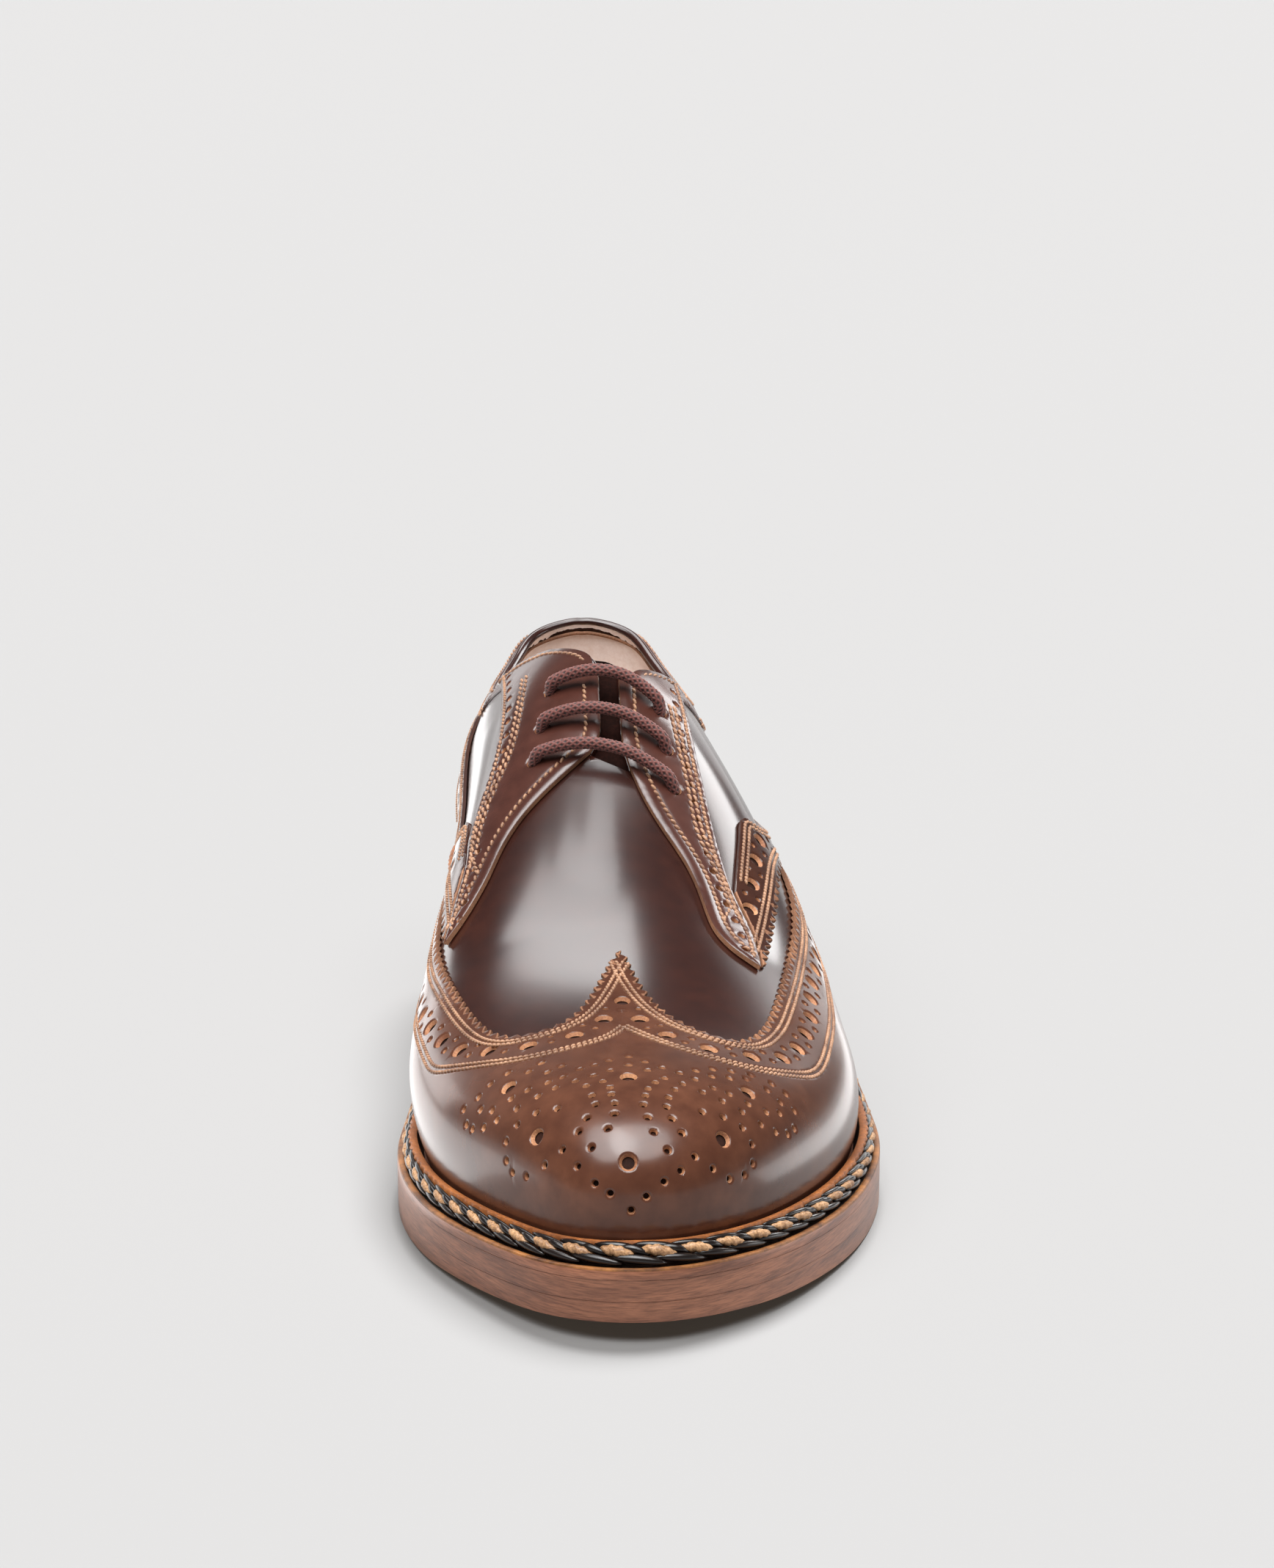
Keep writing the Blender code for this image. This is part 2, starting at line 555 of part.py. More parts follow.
# Upper: one hollow skin on the last, open at the collar, throat and bottom
add_piece("upper", *shell_mesh(*part_of(ab, tris, rim, [throat]), -WALL, 0.0), LEATHER_DARK, 0.25)

# Wing cap: the brogued toe piece, laid over the vamp from the welt upwards
skin = (SKIN_GAP, SKIN_GAP + CAP_T)
add_piece("wing_cap", *shell_mesh(*part_of(ab, tris, wing, []), *skin), LEATHER_CAP, 0.22)

# Heel foxing: the brogued piece round the heel, both sides and the back
add_piece("heel_foxing", *shell_mesh(*part_of(ab, tris, foxing, []), *skin), LEATHER_DARK, 0.22)

# Facings: the two lacing panels that lie on the vamp, open at the throat
for name, loop in zip(("facing_inner", "facing_outer"), facings):
    panel = part_of(ab, tris, loop, [])
    add_piece(name, *shell_mesh(*panel, SKIN_GAP, SKIN_GAP + FACING_T), LEATHER_DARK, 0.25)

# Tongue: the soft leaf under the facings, just below the inside of the upper
tongue = np.array([(-12.0, 188.0), (-17.0, 205.0), (-20.0, 222.0), (-19.0, 240.0), (-8.0, 244.0),
                   (0.0, 240.0), (9.0, 236.0), (15.0, 226.0), (16.5, 210.0), (14.0, 196.0),
                   (9.0, 185.0), (-1.0, 184.0)])
panel = part_of(*triangulate([tongue], STEP), tongue, [])
add_piece("tongue", *shell_mesh(*panel, TONGUE_TOP - TONGUE_T, TONGUE_TOP), LEATHER_DARK, 0.35)

# Lace: three bars across the facings, each ending over its pair of eyelets
for name, (a0, b0, a1, b1) in zip(("lace_bottom", "lace_middle", "lace_top"), EYELETS):
    t = np.linspace(0.0, 1.0, 13)
    line = np.stack([a0 + (a1 - a0) * t, b0 + (b1 - b0) * t], -1)
    lift = SKIN_GAP + FACING_T + 0.4 + LACE_D / 2.0 + 2.2 * np.sin(np.pi * t)
    path = np.array([place(line[k:k + 1], lift[k])[0] for k in range(13)])
    along = np.gradient(path, axis=0)
    along /= np.linalg.norm(along, axis=1)[:, None]
    side = np.cross(along, (0.0, 0.0, 1.0))
    side /= np.linalg.norm(side, axis=1)[:, None]
    up = np.cross(side, along)
    verts = []
    faces = []
    for k in range(13):
        for q in range(8):
            w = 2.0 * np.pi * q / 8.0
            verts.append(path[k] + LACE_D / 2.0 * (np.cos(w) * side[k] + np.sin(w) * up[k]))
    for k in range(12):
        for q in range(8):
            r = (q + 1) % 8
            faces.append((k * 8 + q, k * 8 + r, k * 8 + 8 + r, k * 8 + 8 + q))
    faces += [tuple(range(8))[::-1], tuple(range(96, 104))]
    add_piece(name, verts, faces, (0.06, 0.028, 0.022), 0.8)
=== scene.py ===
import math
import bpy
import bmesh
import numpy as np
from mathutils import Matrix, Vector
from mathutils.geometry import delaunay_2d_cdt


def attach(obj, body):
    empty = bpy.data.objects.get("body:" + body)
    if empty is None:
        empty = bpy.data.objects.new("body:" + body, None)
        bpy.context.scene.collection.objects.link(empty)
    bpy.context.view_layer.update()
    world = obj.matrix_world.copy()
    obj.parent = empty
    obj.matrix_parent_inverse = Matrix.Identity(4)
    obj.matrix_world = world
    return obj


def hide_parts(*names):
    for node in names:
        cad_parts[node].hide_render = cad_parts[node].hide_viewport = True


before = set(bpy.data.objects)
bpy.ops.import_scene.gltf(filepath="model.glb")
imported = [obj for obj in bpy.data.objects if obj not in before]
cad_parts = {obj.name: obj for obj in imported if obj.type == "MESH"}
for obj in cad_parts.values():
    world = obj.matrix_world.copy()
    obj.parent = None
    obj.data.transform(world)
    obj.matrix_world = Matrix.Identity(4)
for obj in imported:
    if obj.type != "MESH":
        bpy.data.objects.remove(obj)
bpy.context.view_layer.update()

# The upper: vamp and quarters of polished calf, pulled wet over a wooden last.
# The last is a row of arches, and every panel is cut flat and laid on it, so
# all of them are drawn on the last's unrolled skin: a round the foot, b along it.
MM = 0.001
CENTRE = np.array((5.2496, 0.1, 0.0))
SOLE_T = 13.0
LAST_BASE = SOLE_T + 0.15
HEEL_H = 24.0
TOE_SPRING, SPRING_START_Y, SPRING_RUN = 5.0, -62.0, 93.0
ARCH_START_Y, ARCH_RUN = -38.0, 105.0
LAST = np.array([
    # y_f   x_in  x_out x_top  y_top   rise  p_in  p_out b_in  b_out
    (-143.0, 0.0, 0.0, 0.0, -143.0, 0.0, 2.20, 2.20, 0.06, 0.06),
    (-137.0, -15.0, 15.5, -1.0, -141.5, 21.7, 2.30, 2.30, 0.08, 0.08),
    (-127.0, -23.0, 26.5, -1.5, -131.0, 31.0, 2.35, 2.35, 0.10, 0.09),
    (-112.0, -31.5, 37.0, -1.5, -115.0, 36.0, 2.40, 2.35, 0.13, 0.10),
    (-95.0, -39.0, 45.5, -0.5, -95.0, 38.0, 2.40, 2.25, 0.17, 0.12),
    (-75.0, -44.0, 52.0, 0.0, -74.0, 40.0, 2.30, 2.10, 0.20, 0.14),
    (-55.0, -45.5, 55.5, 1.0, -50.0, 44.5, 2.30, 2.00, 0.23, 0.15),
    (-30.0, -43.0, 55.5, 1.5, -22.0, 52.6, 2.30, 1.90, 0.26, 0.15),
    (-5.0, -38.5, 52.5, 2.0, 6.0, 61.4, 2.20, 1.85, 0.29, 0.15),
    (25.0, -33.5, 46.5, 3.0, 36.0, 70.5, 2.00, 1.75, 0.30, 0.14),
    (60.0, -31.5, 38.5, 3.0, 67.0, 74.3, 1.90, 1.65, 0.26, 0.12),
    (95.0, -33.0, 34.5, 1.5, 103.0, 73.5, 1.85, 1.75, 0.18, 0.10),
    (120.0, -31.0, 31.0, 0.5, 133.0, 67.5, 1.90, 1.85, 0.12, 0.08),
    (138.0, -22.5, 22.5, 0.0, 148.5, 62.0, 2.00, 2.00, 0.08, 0.06),
    (147.0, -11.5, 11.5, 0.0, 152.5, 29.0, 2.10, 2.10, 0.06, 0.06),
    (150.5, 0.0, 0.0, 0.0, 150.5, 0.0, 2.00, 2.00, 0.06, 0.06)])


def spline(x, y):
    """A natural cubic through the rows of y, as a function of x."""
    n = len(x)
    h = np.diff(x)
    rows = np.eye(n)
    rhs = np.zeros(y.shape)
    for i in range(1, n - 1):
        rows[i, i - 1:i + 2] = h[i - 1], 2.0 * (h[i - 1] + h[i]), h[i]
        rhs[i] = 6.0 * ((y[i + 1] - y[i]) / h[i] - (y[i] - y[i - 1]) / h[i - 1])
    m = np.linalg.solve(rows, rhs)

    def value(t):
        t = np.asarray(t, float)
        i = np.clip(np.searchsorted(x, t) - 1, 0, n - 2)
        d = (t - x[i])[..., None]
        e = (x[i + 1] - t)[..., None]
        k = h[i][..., None]
        cubic = (m[i] * e ** 3 + m[i + 1] * d ** 3) / (6.0 * k)
        return cubic + (y[i] / k - m[i] * k / 6.0) * e + (y[i + 1] / k - m[i + 1] * k / 6.0) * d
    return value


Y_MID = (LAST[0, 0] + LAST[-1, 0]) / 2.0
Y_HALF = (LAST[-1, 0] - LAST[0, 0]) / 2.0
LAST_AT = spline(np.arccos(np.clip((Y_MID - LAST[:, 0]) / Y_HALF, -1.0, 1.0)), LAST[:, 1:])


def bottom_z(y):
    """Height of the last's bottom: toe spring, arch and heel."""
    y = np.asarray(y, float)
    toe = TOE_SPRING * np.clip((SPRING_START_Y - y) / SPRING_RUN, 0.0, None) ** 2
    t = np.clip((y - ARCH_START_Y) / ARCH_RUN, 0.0, 1.0)
    return toe + HEEL_H * t * t * (3.0 - 2.0 * t)


def last_point(u, phi, side):
    """A point of the last: u from toe to heel, phi from the edge to the ridge."""
    theta = np.pi * np.asarray(u, float)
    x_in, x_out, x_top, y_top, rise, p_in, p_out, b_in, b_out = np.moveaxis(LAST_AT(theta), -1, 0)
    y_f = Y_MID - Y_HALF * np.cos(theta)
    inner = np.asarray(side) < 0
    power = 2.0 / np.where(inner, p_in, p_out)
    c = np.clip(np.cos(phi), 0.0, None) ** power
    s = np.clip(np.sin(phi), 0.0, None) ** power
    swell = 1.0 + np.where(inner, b_in, b_out) * np.sin(2.0 * phi)
    x = x_top + (np.where(inner, x_in, x_out) - x_top) * c * swell
    y = y_f + (y_top - y_f) * s
    return np.stack([x, y, bottom_z(y_f) + LAST_BASE + rise * s], -1)


def run_along(line):
    """Length along a line, up to each of its points."""
    return np.concatenate([[0.0], np.cumsum(np.linalg.norm(np.diff(line, axis=0), axis=1))])


def unit(v):
    """Rows of v, each made one long."""
    return v / np.linalg.norm(v, axis=1)[:, None]


N_U, N_G = 481, 161
U_TAB = np.linspace(0.0, 1.0, N_U)
PHI_TAB = np.linspace(np.pi / 2.0, 0.0, N_G)
GIRTH, PHI_AT = {}, {}
for hand in (-1, 1):
    arches = last_point(U_TAB[:, None], PHI_TAB[None, :], np.full((N_U, N_G), hand))
    run = np.cumsum(np.linalg.norm(np.diff(arches, axis=1), axis=2), axis=1)
    run = np.concatenate([np.zeros((N_U, 1)), run], axis=1)
    GIRTH[hand] = np.maximum(run[:, -1], 1e-6)
    PHI_AT[hand] = np.array([np.interp(np.linspace(0.0, r[-1], N_G), r, PHI_TAB) for r in run])
ridge = last_point(U_TAB, np.full(N_U, np.pi / 2.0), np.ones(N_U))
B_TAB = run_along(ridge)


def to_u_phi(ab):
    """Where a point of the flat pattern lies on the last."""
    a, b = np.asarray(ab, float).T
    u = np.interp(b, B_TAB, U_TAB)
    side = np.where(a < 0, -1, 1)
    f = u * (N_U - 1)
    i = np.minimum(f.astype(int), N_U - 2)
    f = f - i
    phi = np.empty(len(a))
    for hand in (-1, 1):
        m = side == hand
        s = np.clip(np.abs(a[m]) / np.interp(u[m], U_TAB, GIRTH[hand]), 0.0, 1.0) * (N_G - 1)
        j = np.minimum(s.astype(int), N_G - 2)
        s = s - j
        t = PHI_AT[hand]
        low = t[i[m], j] * (1.0 - s) + t[i[m], j + 1] * s
        high = t[i[m] + 1, j] * (1.0 - s) + t[i[m] + 1, j + 1] * s
        phi[m] = low * (1.0 - f[m]) + high * f[m]
    return u, phi, side


def skin_normal(u, phi, side):
    """The way out of the last, level at its lower edge and at both ends."""
    uc = np.clip(u, 0.012, 0.988)
    d_u = last_point(uc + 0.004, phi, side) - last_point(uc - 0.004, phi, side)
    up = phi + 0.03
    over = up > np.pi / 2.0
    high = last_point(uc, np.where(over, np.pi - up, up), np.where(over, -side, side))
    low = last_point(uc, np.clip(phi - 0.03, 0.0, None), side)
    n = unit(np.cross(low - high, d_u) * side[:, None])
    n[:, 2] *= np.clip(phi / 0.15, 0.0, 1.0)
    n = unit(n)
    n[u < 0.004] = (0.0, -1.0, 0.0)
    n[u > 0.996] = (0.0, 1.0, 0.0)
    return n


def place(ab, h):
    """Points of the flat pattern laid on the last, h above it, with the way out."""
    at = to_u_phi(ab)
    n = skin_normal(*at)
    return last_point(*at) + n * np.asarray(h, float).reshape(-1, 1), n


def smooth(points, step):
    """A soft curve through the given points, resampled step apart."""
    p = np.asarray(points, float)
    t = np.concatenate([[0.0], np.cumsum(np.linalg.norm(np.diff(p, axis=0), axis=1) ** 0.5)])
    return even(spline(t, p)(np.linspace(0.0, t[-1], 600)), step)


def even(line, step):
    """A line resampled about step apart."""
    run = run_along(line)
    at = np.linspace(0.0, run[-1], max(2, int(round(run[-1] / step)) + 1))
    return np.stack([np.interp(at, run, line[:, i]) for i in range(line.shape[1])], -1)


def stretch(ab):
    """The metric of the flat pattern where it lies on the last."""
    d = [(place(ab + e, 0.0)[0] - place(ab - e, 0.0)[0]) / 0.4
         for e in (np.array((0.2, 0.0)), np.array((0.0, 0.2)))]
    g = np.array([[(p * q).sum(axis=1) for q in d] for p in d]).transpose(2, 0, 1)
    w, v = np.linalg.eigh(g)
    return np.clip(w, 0.25, 4.0), v


def shifted(line, distance):
    """A line moved to the right of its own direction, measured on the last."""
    w, v = stretch(line)
    g = (v * w[:, None, :]) @ v.transpose(0, 2, 1)
    t = (g @ np.gradient(line, axis=0)[:, :, None])[:, :, 0]
    n = np.stack([t[:, 1], -t[:, 0]], -1)
    size = np.sqrt(np.einsum("ni,nij,nj->n", n, g, n)) + 1e-9
    return line + n * (np.asarray(distance, float) / size).reshape(-1, 1)


def spaced(line, pitch):
    """Points along a line, pitch apart as measured on the last."""
    run = run_along(place(line, 0.0)[0])
    at = np.linspace(0.0, run[-1], max(2, int(round(run[-1] / pitch)) + 1))
    return np.stack([np.interp(at, run, line[:, i]) for i in (0, 1)], -1)


def join(*runs):
    """One closed loop from runs laid end to end, shared ends kept once."""
    loop = [runs[0]]
    for r in runs[1:]:
        loop.append(r[1:] if np.linalg.norm(r[0] - loop[-1][-1]) < 0.4 else r)
    loop = np.concatenate(loop)
    return loop[:-1] if np.linalg.norm(loop[0] - loop[-1]) < 0.4 else loop


def inside(points, loop):
    """Which points lie within a closed loop."""
    x, y = points[:, 0], points[:, 1]
    hit = np.zeros(len(points), bool)
    for (x0, y0), (x1, y1) in zip(loop, np.roll(loop, -1, axis=0)):
        if y0 != y1:
            hit ^= ((y0 > y) != (y1 > y)) & (x < x0 + (y - y0) * (x1 - x0) / (y1 - y0))
    return hit


def apart(new, old, gap):
    """Which new points lie at least gap from every old one, on a fine raster."""
    cell, corner = 0.2, (130.0, 20.0)
    k = int(math.ceil(gap / cell))
    taken = np.zeros((1300, 2200), bool)
    at = ((old + corner) / cell).astype(int)
    for i in range(-k, k + 1):
        for j in range(-k, k + 1):
            if i * i + j * j <= k * k:
                taken[at[:, 0] + i, at[:, 1] + j] = True
    at = ((new + corner) / cell).astype(int)
    return ~taken[at[:, 0], at[:, 1]]


EDGE_DROP = 0.32
RAW_BAND, RAW_DROP = 0.28, 0.08
HOLE_LIP = ((0.16, 0.12), (0.5, 0.0))
HOLE_TAPER = 0.74


def cut_panel(outline, low, high, step, holes=(), openings=(), reliefs=(), dips=()):
    """A closed sheet of leather on the last, from low to high above its skin.
    holes are punched (a, b, radius), openings cut loops, reliefs lines with
    (offset, rise) columns, dips soft hollows (a, b, radius, depth)."""
    loops = [outline, *openings]
    ring = []
    if holes:
        spot = np.array(holes)
        w, v = stretch(spot[:, :2])
        round_off = (v / np.sqrt(w)[:, None, :]) @ v.transpose(0, 2, 1)
        for (a, b, r), m in zip(holes, round_off):
            n = max(14, int(r * 9.0))
            turn = np.arange(n) * 2.0 * np.pi / n
            ring.append((np.array((a, b)), r, np.stack([np.cos(turn), np.sin(turn)], -1) @ m))
            loops.append(ring[-1][0] + r * ring[-1][2])
    points = np.concatenate(loops)
    rise = np.full(len(points), -EDGE_DROP)
    edges, owner = [], []
    for k, loop in enumerate(loops):
        n, start = len(loop), len(edges)
        edges += [(start + i, start + (i + 1) % n) for i in range(n)]
        owner += [k] * n

    def lay(more, height, gap):
        nonlocal points, rise
        keep = inside(more, outline) & apart(more, points, gap)
        for gone in openings:
            keep &= ~inside(more, gone)
        for at, r, c in ring:
            near = np.flatnonzero(keep & (np.abs(more - at).max(axis=1) < 2.0 * r))
            keep[near[inside(more[near], at + (r + 0.05) * c)]] = False
        points = np.concatenate([points, more[keep]])
        rise = np.concatenate([rise, np.broadcast_to(height, len(more))[keep]])

    if holes:
        for extra, drop in HOLE_LIP:
            lay(np.concatenate([at + (r + extra) * c for at, r, c in ring]), -drop, 0.13)
    for loop in (outline, *openings):
        for hand in (-1, 1):
            lay(shifted(np.concatenate([loop, loop[:1]]), RAW_BAND * hand)[:-1], -RAW_DROP, 0.2)
    for line, profile in reliefs:
        for offset, height in profile:
            lay(even(shifted(line, offset), 1.1), height, 0.3)
    i, j = np.meshgrid(np.arange(-110.0, 110.0, step), np.arange(0.0, B_TAB[-1], step * 0.866))
    i = i + 0.5 * step * (np.arange(len(i)) % 2)[:, None]
    field = np.stack([i.ravel(), j.ravel()], -1)
    box = (field > outline.min(axis=0)).all(axis=1) & (field < outline.max(axis=0)).all(axis=1)
    lay(field[box], 0.0, 0.55 * step)
    for a, b, r, deep in dips:
        rise = rise - deep * np.exp(-((points - (a, b)) ** 2).sum(axis=1) / (r * r))
    out = delaunay_2d_cdt([Vector(p) for p in points], edges, [], 1, 1e-6, True)
    ab = np.array([tuple(v) for v in out[0]])
    tris = np.array([tuple(f) for f in out[2]])
    owner = np.array(owner + [0] * (len(points) - len(owner)))
    by = np.array([owner[v[0]] if v else 0 for v in out[3]])
    cut_by = by[tris]
    waste = (cut_by.min(axis=1) == cut_by.max(axis=1)) & (cut_by[:, 0] > len(openings))
    for gone in openings:
        waste |= inside(ab[tris].mean(axis=1), gone)
    waste |= ~inside(ab[tris].mean(axis=1), outline)
    tris = tris[~waste]
    lift = np.array([rise[v[0]] if v else 0.0 for v in out[3]])
    e1, e2 = ab[tris[:, 1]] - ab[tris[:, 0]], ab[tris[:, 2]] - ab[tris[:, 0]]
    turned = e1[:, 0] * e2[:, 1] < e1[:, 1] * e2[:, 0]
    tris[turned] = tris[turned][:, ::-1]
    top, normal = place(ab, high + lift)
    foot = ab.copy()
    for k, (at, r, c) in enumerate(ring, 1 + len(openings)):
        foot[by == k] = at + HOLE_TAPER * (ab[by == k] - at)
    under, _ = place(foot, low)
    face = np.cross(top[tris[:, 1]] - top[tris[:, 0]], top[tris[:, 2]] - top[tris[:, 0]])
    shade = np.zeros_like(top)
    for k in range(3):
        np.add.at(shade, tris[:, k], face)
    shade /= np.linalg.norm(shade, axis=1)[:, None] + 1e-12
    if (shade * normal).sum() < 0:
        tris = tris[:, ::-1]
        shade = -shade
    shade[lift == 0.0] = normal[lift == 0.0]
    n = len(ab)
    pair = {}
    for t in tris:
        for k in range(3):
            pair[t[k], t[(k + 1) % 3]] = True
    rim = np.array([(i, j) for i, j in pair if (j, i) not in pair])
    walls = np.concatenate([np.stack([rim[:, 1], rim[:, 0], rim[:, 0] + n], -1),
                            np.stack([rim[:, 1], rim[:, 0] + n, rim[:, 1] + n], -1)])
    verts = np.concatenate([top, under])
    flat = np.cross(verts[walls[:, 1]] - verts[walls[:, 0]], verts[walls[:, 2]] - verts[walls[:, 0]])
    flat /= np.linalg.norm(flat, axis=1)[:, None] + 1e-12
    faces = np.concatenate([tris, tris[:, ::-1] + n, walls])
    loops_n = np.concatenate([shade[tris].reshape(-1, 3), -normal[tris[:, ::-1]].reshape(-1, 3),
                              np.repeat(flat, 3, axis=0)])
    kind = np.repeat((0, 1, 2), (len(tris), len(tris), len(walls)))
    on_cut = np.array([bool(v) and v[0] < len(edges) for v in out[3]]) & (by <= len(openings))
    kind[:len(tris)][on_cut[tris].any(axis=1)] = 3
    kind[2 * len(tris):][by[rim[:, 0].tolist() * 2] > len(openings)] = 4
    return verts, faces, kind, loops_n, ab


def fasten(name, mesh, stands_for):
    """Puts a finished mesh on the shoe, in place of the solids it stands for."""
    piece = bpy.data.objects.new(name, mesh)
    bpy.context.scene.collection.objects.link(piece)
    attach(piece, "root")
    if stands_for:
        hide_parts(*stands_for)
    return piece


def add_piece(name, verts, faces, materials, kind=None, normals=None, stands_for=()):
    """A finished piece: verts in millimetres on the last, riding on the shoe."""
    mesh = bpy.data.meshes.new(name)
    mesh.from_pydata(((verts - CENTRE) * MM).tolist(), [],
                     faces.tolist() if isinstance(faces, np.ndarray) else faces)
    for m in materials:
        mesh.materials.append(m)
    if kind is not None:
        mesh.polygons.foreach_set("material_index", np.asarray(kind, np.int32))
    if normals is None:
        bm = bmesh.new()
        bm.from_mesh(mesh)
        bmesh.ops.recalc_face_normals(bm, faces=bm.faces)
        bm.to_mesh(mesh)
        bm.free()
    mesh.shade_smooth()
    if normals is not None:
        mesh.normals_split_custom_set(np.asarray(normals).tolist())
    mesh.update()
    return fasten(name, mesh, stands_for)


def srgb(code):
    """Linear colour of an sRGB hex value."""
    c = [int(code[i:i + 2], 16) / 255.0 for i in (1, 3, 5)]
    return (*[v / 12.92 if v <= 0.04045 else ((v + 0.055) / 1.055) ** 2.4 for v in c], 1.0)


def node(tree, kind, inputs=None, **settings):
    """Adds one shader node with its settings, and links or sets its inputs."""
    new = tree.nodes.new("ShaderNode" + kind)
    for key, value in settings.items():
        setattr(new, key, value)
    for key, value in (inputs or {}).items():
        if isinstance(value, bpy.types.NodeSocket):
            tree.links.new(value, new.inputs[key])
        else:
            new.inputs[key].default_value = value
    return new


def start_material(name):
    """An empty material and its node tree."""
    mat = bpy.data.materials.new(name)
    mat.use_nodes = True
    mat.node_tree.nodes.clear()
    return mat, mat.node_tree


def two_tone(tree, one, other, low, high, dark, pale):
    """A dye that goes from dark to pale as two patterns together grow."""
    both = node(tree, "Math", {0: one.outputs[0], 1: other.outputs[0]}, operation="MULTIPLY")
    tint = node(tree, "MapRange", {0: both.outputs[0], 1: low, 2: high})
    dye = node(tree, "Mix", {0: tint.outputs[0], 6: srgb(dark), 7: srgb(pale)}, data_type="RGBA")
    return dye.outputs[2]


def polished_calf(name, deep, warm, gloss):
    """Box calf, drum dyed, then waxed and brushed: clouds of lighter dye where
    the brush lingered, under a clear coat. Its pores are finer than a pixel, so
    they are drawn 0.6 mm wide and very shallow."""
    mat, tree = start_material(name)
    at = node(tree, "TexCoord").outputs["Object"]
    cloud = node(tree, "TexNoise", {"Vector": at, "Scale": 1.0 / (26 * MM), "Detail": 3.0, "Roughness": 0.6})
    brush = node(tree, "TexNoise", {"Vector": at, "Scale": 1.0 / (5 * MM), "Detail": 4.0})
    dye = two_tone(tree, cloud, brush, 0.08, 0.44, deep, warm)
    pores = node(tree, "TexNoise", {"Vector": at, "Scale": 1.0 / (0.6 * MM), "Detail": 2.0})
    bump = node(tree, "Bump", {"Height": pores.outputs[0], "Strength": 0.012, "Distance": 0.05 * MM})
    wax = node(tree, "TexNoise", {"Vector": at, "Scale": 1.0 / (45 * MM), "Detail": 0.0})
    rough = node(tree, "MapRange", {0: wax.outputs[0], 1: 0.2, 2: 0.8, 3: gloss + 0.02, 4: gloss - 0.02})
    skin = node(tree, "BsdfPrincipled", {"Base Color": dye, "Roughness": rough.outputs[0],
                                         "IOR": 1.45, "Coat Weight": 0.15, "Coat Roughness": 0.12,
                                         "Normal": bump.outputs[0]})
    node(tree, "OutputMaterial", {"Surface": skin.outputs[0]})
    return mat


def raw_leather(name, pale, dark, fibre_mm, rough=0.75, shine=0.5):
    """Undyed vegetable-tanned leather: a cut edge or a flesh side, matt and
    fibrous, with darker flecks a fraction of a millimetre long."""
    mat, tree = start_material(name)
    at = node(tree, "TexCoord").outputs["Object"]
    fleck = node(tree, "TexNoise", {"Vector": at, "Scale": 1.0 / (fibre_mm * MM), "Detail": 5.0,
                                    "Roughness": 0.7})
    patch = node(tree, "TexNoise", {"Vector": at, "Scale": 1.0 / (14 * MM), "Detail": 2.0})
    dye = two_tone(tree, fleck, patch, 0.14, 0.38, dark, pale)
    bump = node(tree, "Bump", {"Height": fleck.outputs[0], "Strength": 0.35, "Distance": 0.12 * MM})
    skin = node(tree, "BsdfPrincipled", {"Base Color": dye, "Roughness": rough,
                                         "Specular IOR Level": shine, "Normal": bump.outputs[0]})
    node(tree, "OutputMaterial", {"Surface": skin.outputs[0]})
    return mat


# The vamp is brushed the longest: nearly black, with a reflection like dark glass.
CALF_VAMP = polished_calf("polished_calf_vamp", "#210d0a", "#321710", 0.21)
# Lining calf is left undyed: pale, warm and matt beside the polish.
LINING = raw_leather("lining_calf", "#f8eee9", "#e8d8d0", 1.2)
# A knife-cut edge is bare fibre: a thin tan line round each panel.
EDGE_TAN = raw_leather("cut_edge_tan", "#9c6d4e", "#5f3c29", 0.5)
# Calf buffed for paste, under the panels: matt, and dark with painted shade, as it is seen only at the
# shaded bottom of a hole.
ROUGHED_SHADED_CALF = raw_leather("roughed_for_paste_painted_shade", "#3a1f16", "#1e0f0a", 0.8, 0.85, 0.2)
WALL = 2.0
UPPER_STEP = 2.6
TOPLINE_IN = [(52.0, 106.5), (56.0, 108.2), (61.0, 108.9), (66.0, 108.4), (73.0, 106.5),
              (81.0, 102.0), (90.0, 95.5), (100.0, 90.5), (110.0, 88.5), (122.0, 89.5),
              (134.0, 92.0), (143.0, 94.8), (148.0, 96.6), (150.5, 97.5)]
TOPLINE_OUT = [(49.0, 105.0), (53.0, 106.0), (57.0, 104.5), (63.0, 100.5), (71.0, 96.5),
               (80.0, 92.5), (90.0, 89.0), (100.0, 87.0), (110.0, 86.5), (122.0, 88.5),
               (134.0, 91.8), (143.0, 94.8), (148.0, 96.6), (150.5, 97.5)]
FACING_IN = [(-3.2, 230.0), (-3.3, 216.0), (-3.6, 206.0), (-6.0, 200.6), (-11.8, 196.0),
             (-18.1, 191.4), (-24.5, 186.0), (-29.8, 178.6), (-33.4, 170.5), (-37.5, 163.5),
             (-42.0, 158.5), (-46.5, 156.0)]
FACING_OUT = [(1.8, 230.0), (1.9, 216.0), (2.3, 204.0), (4.2, 194.5), (7.2, 186.0),
              (12.4, 175.4), (18.4, 164.0), (21.8, 151.0), (24.0, 141.5), (28.5, 134.5),
              (35.3, 130.5)]


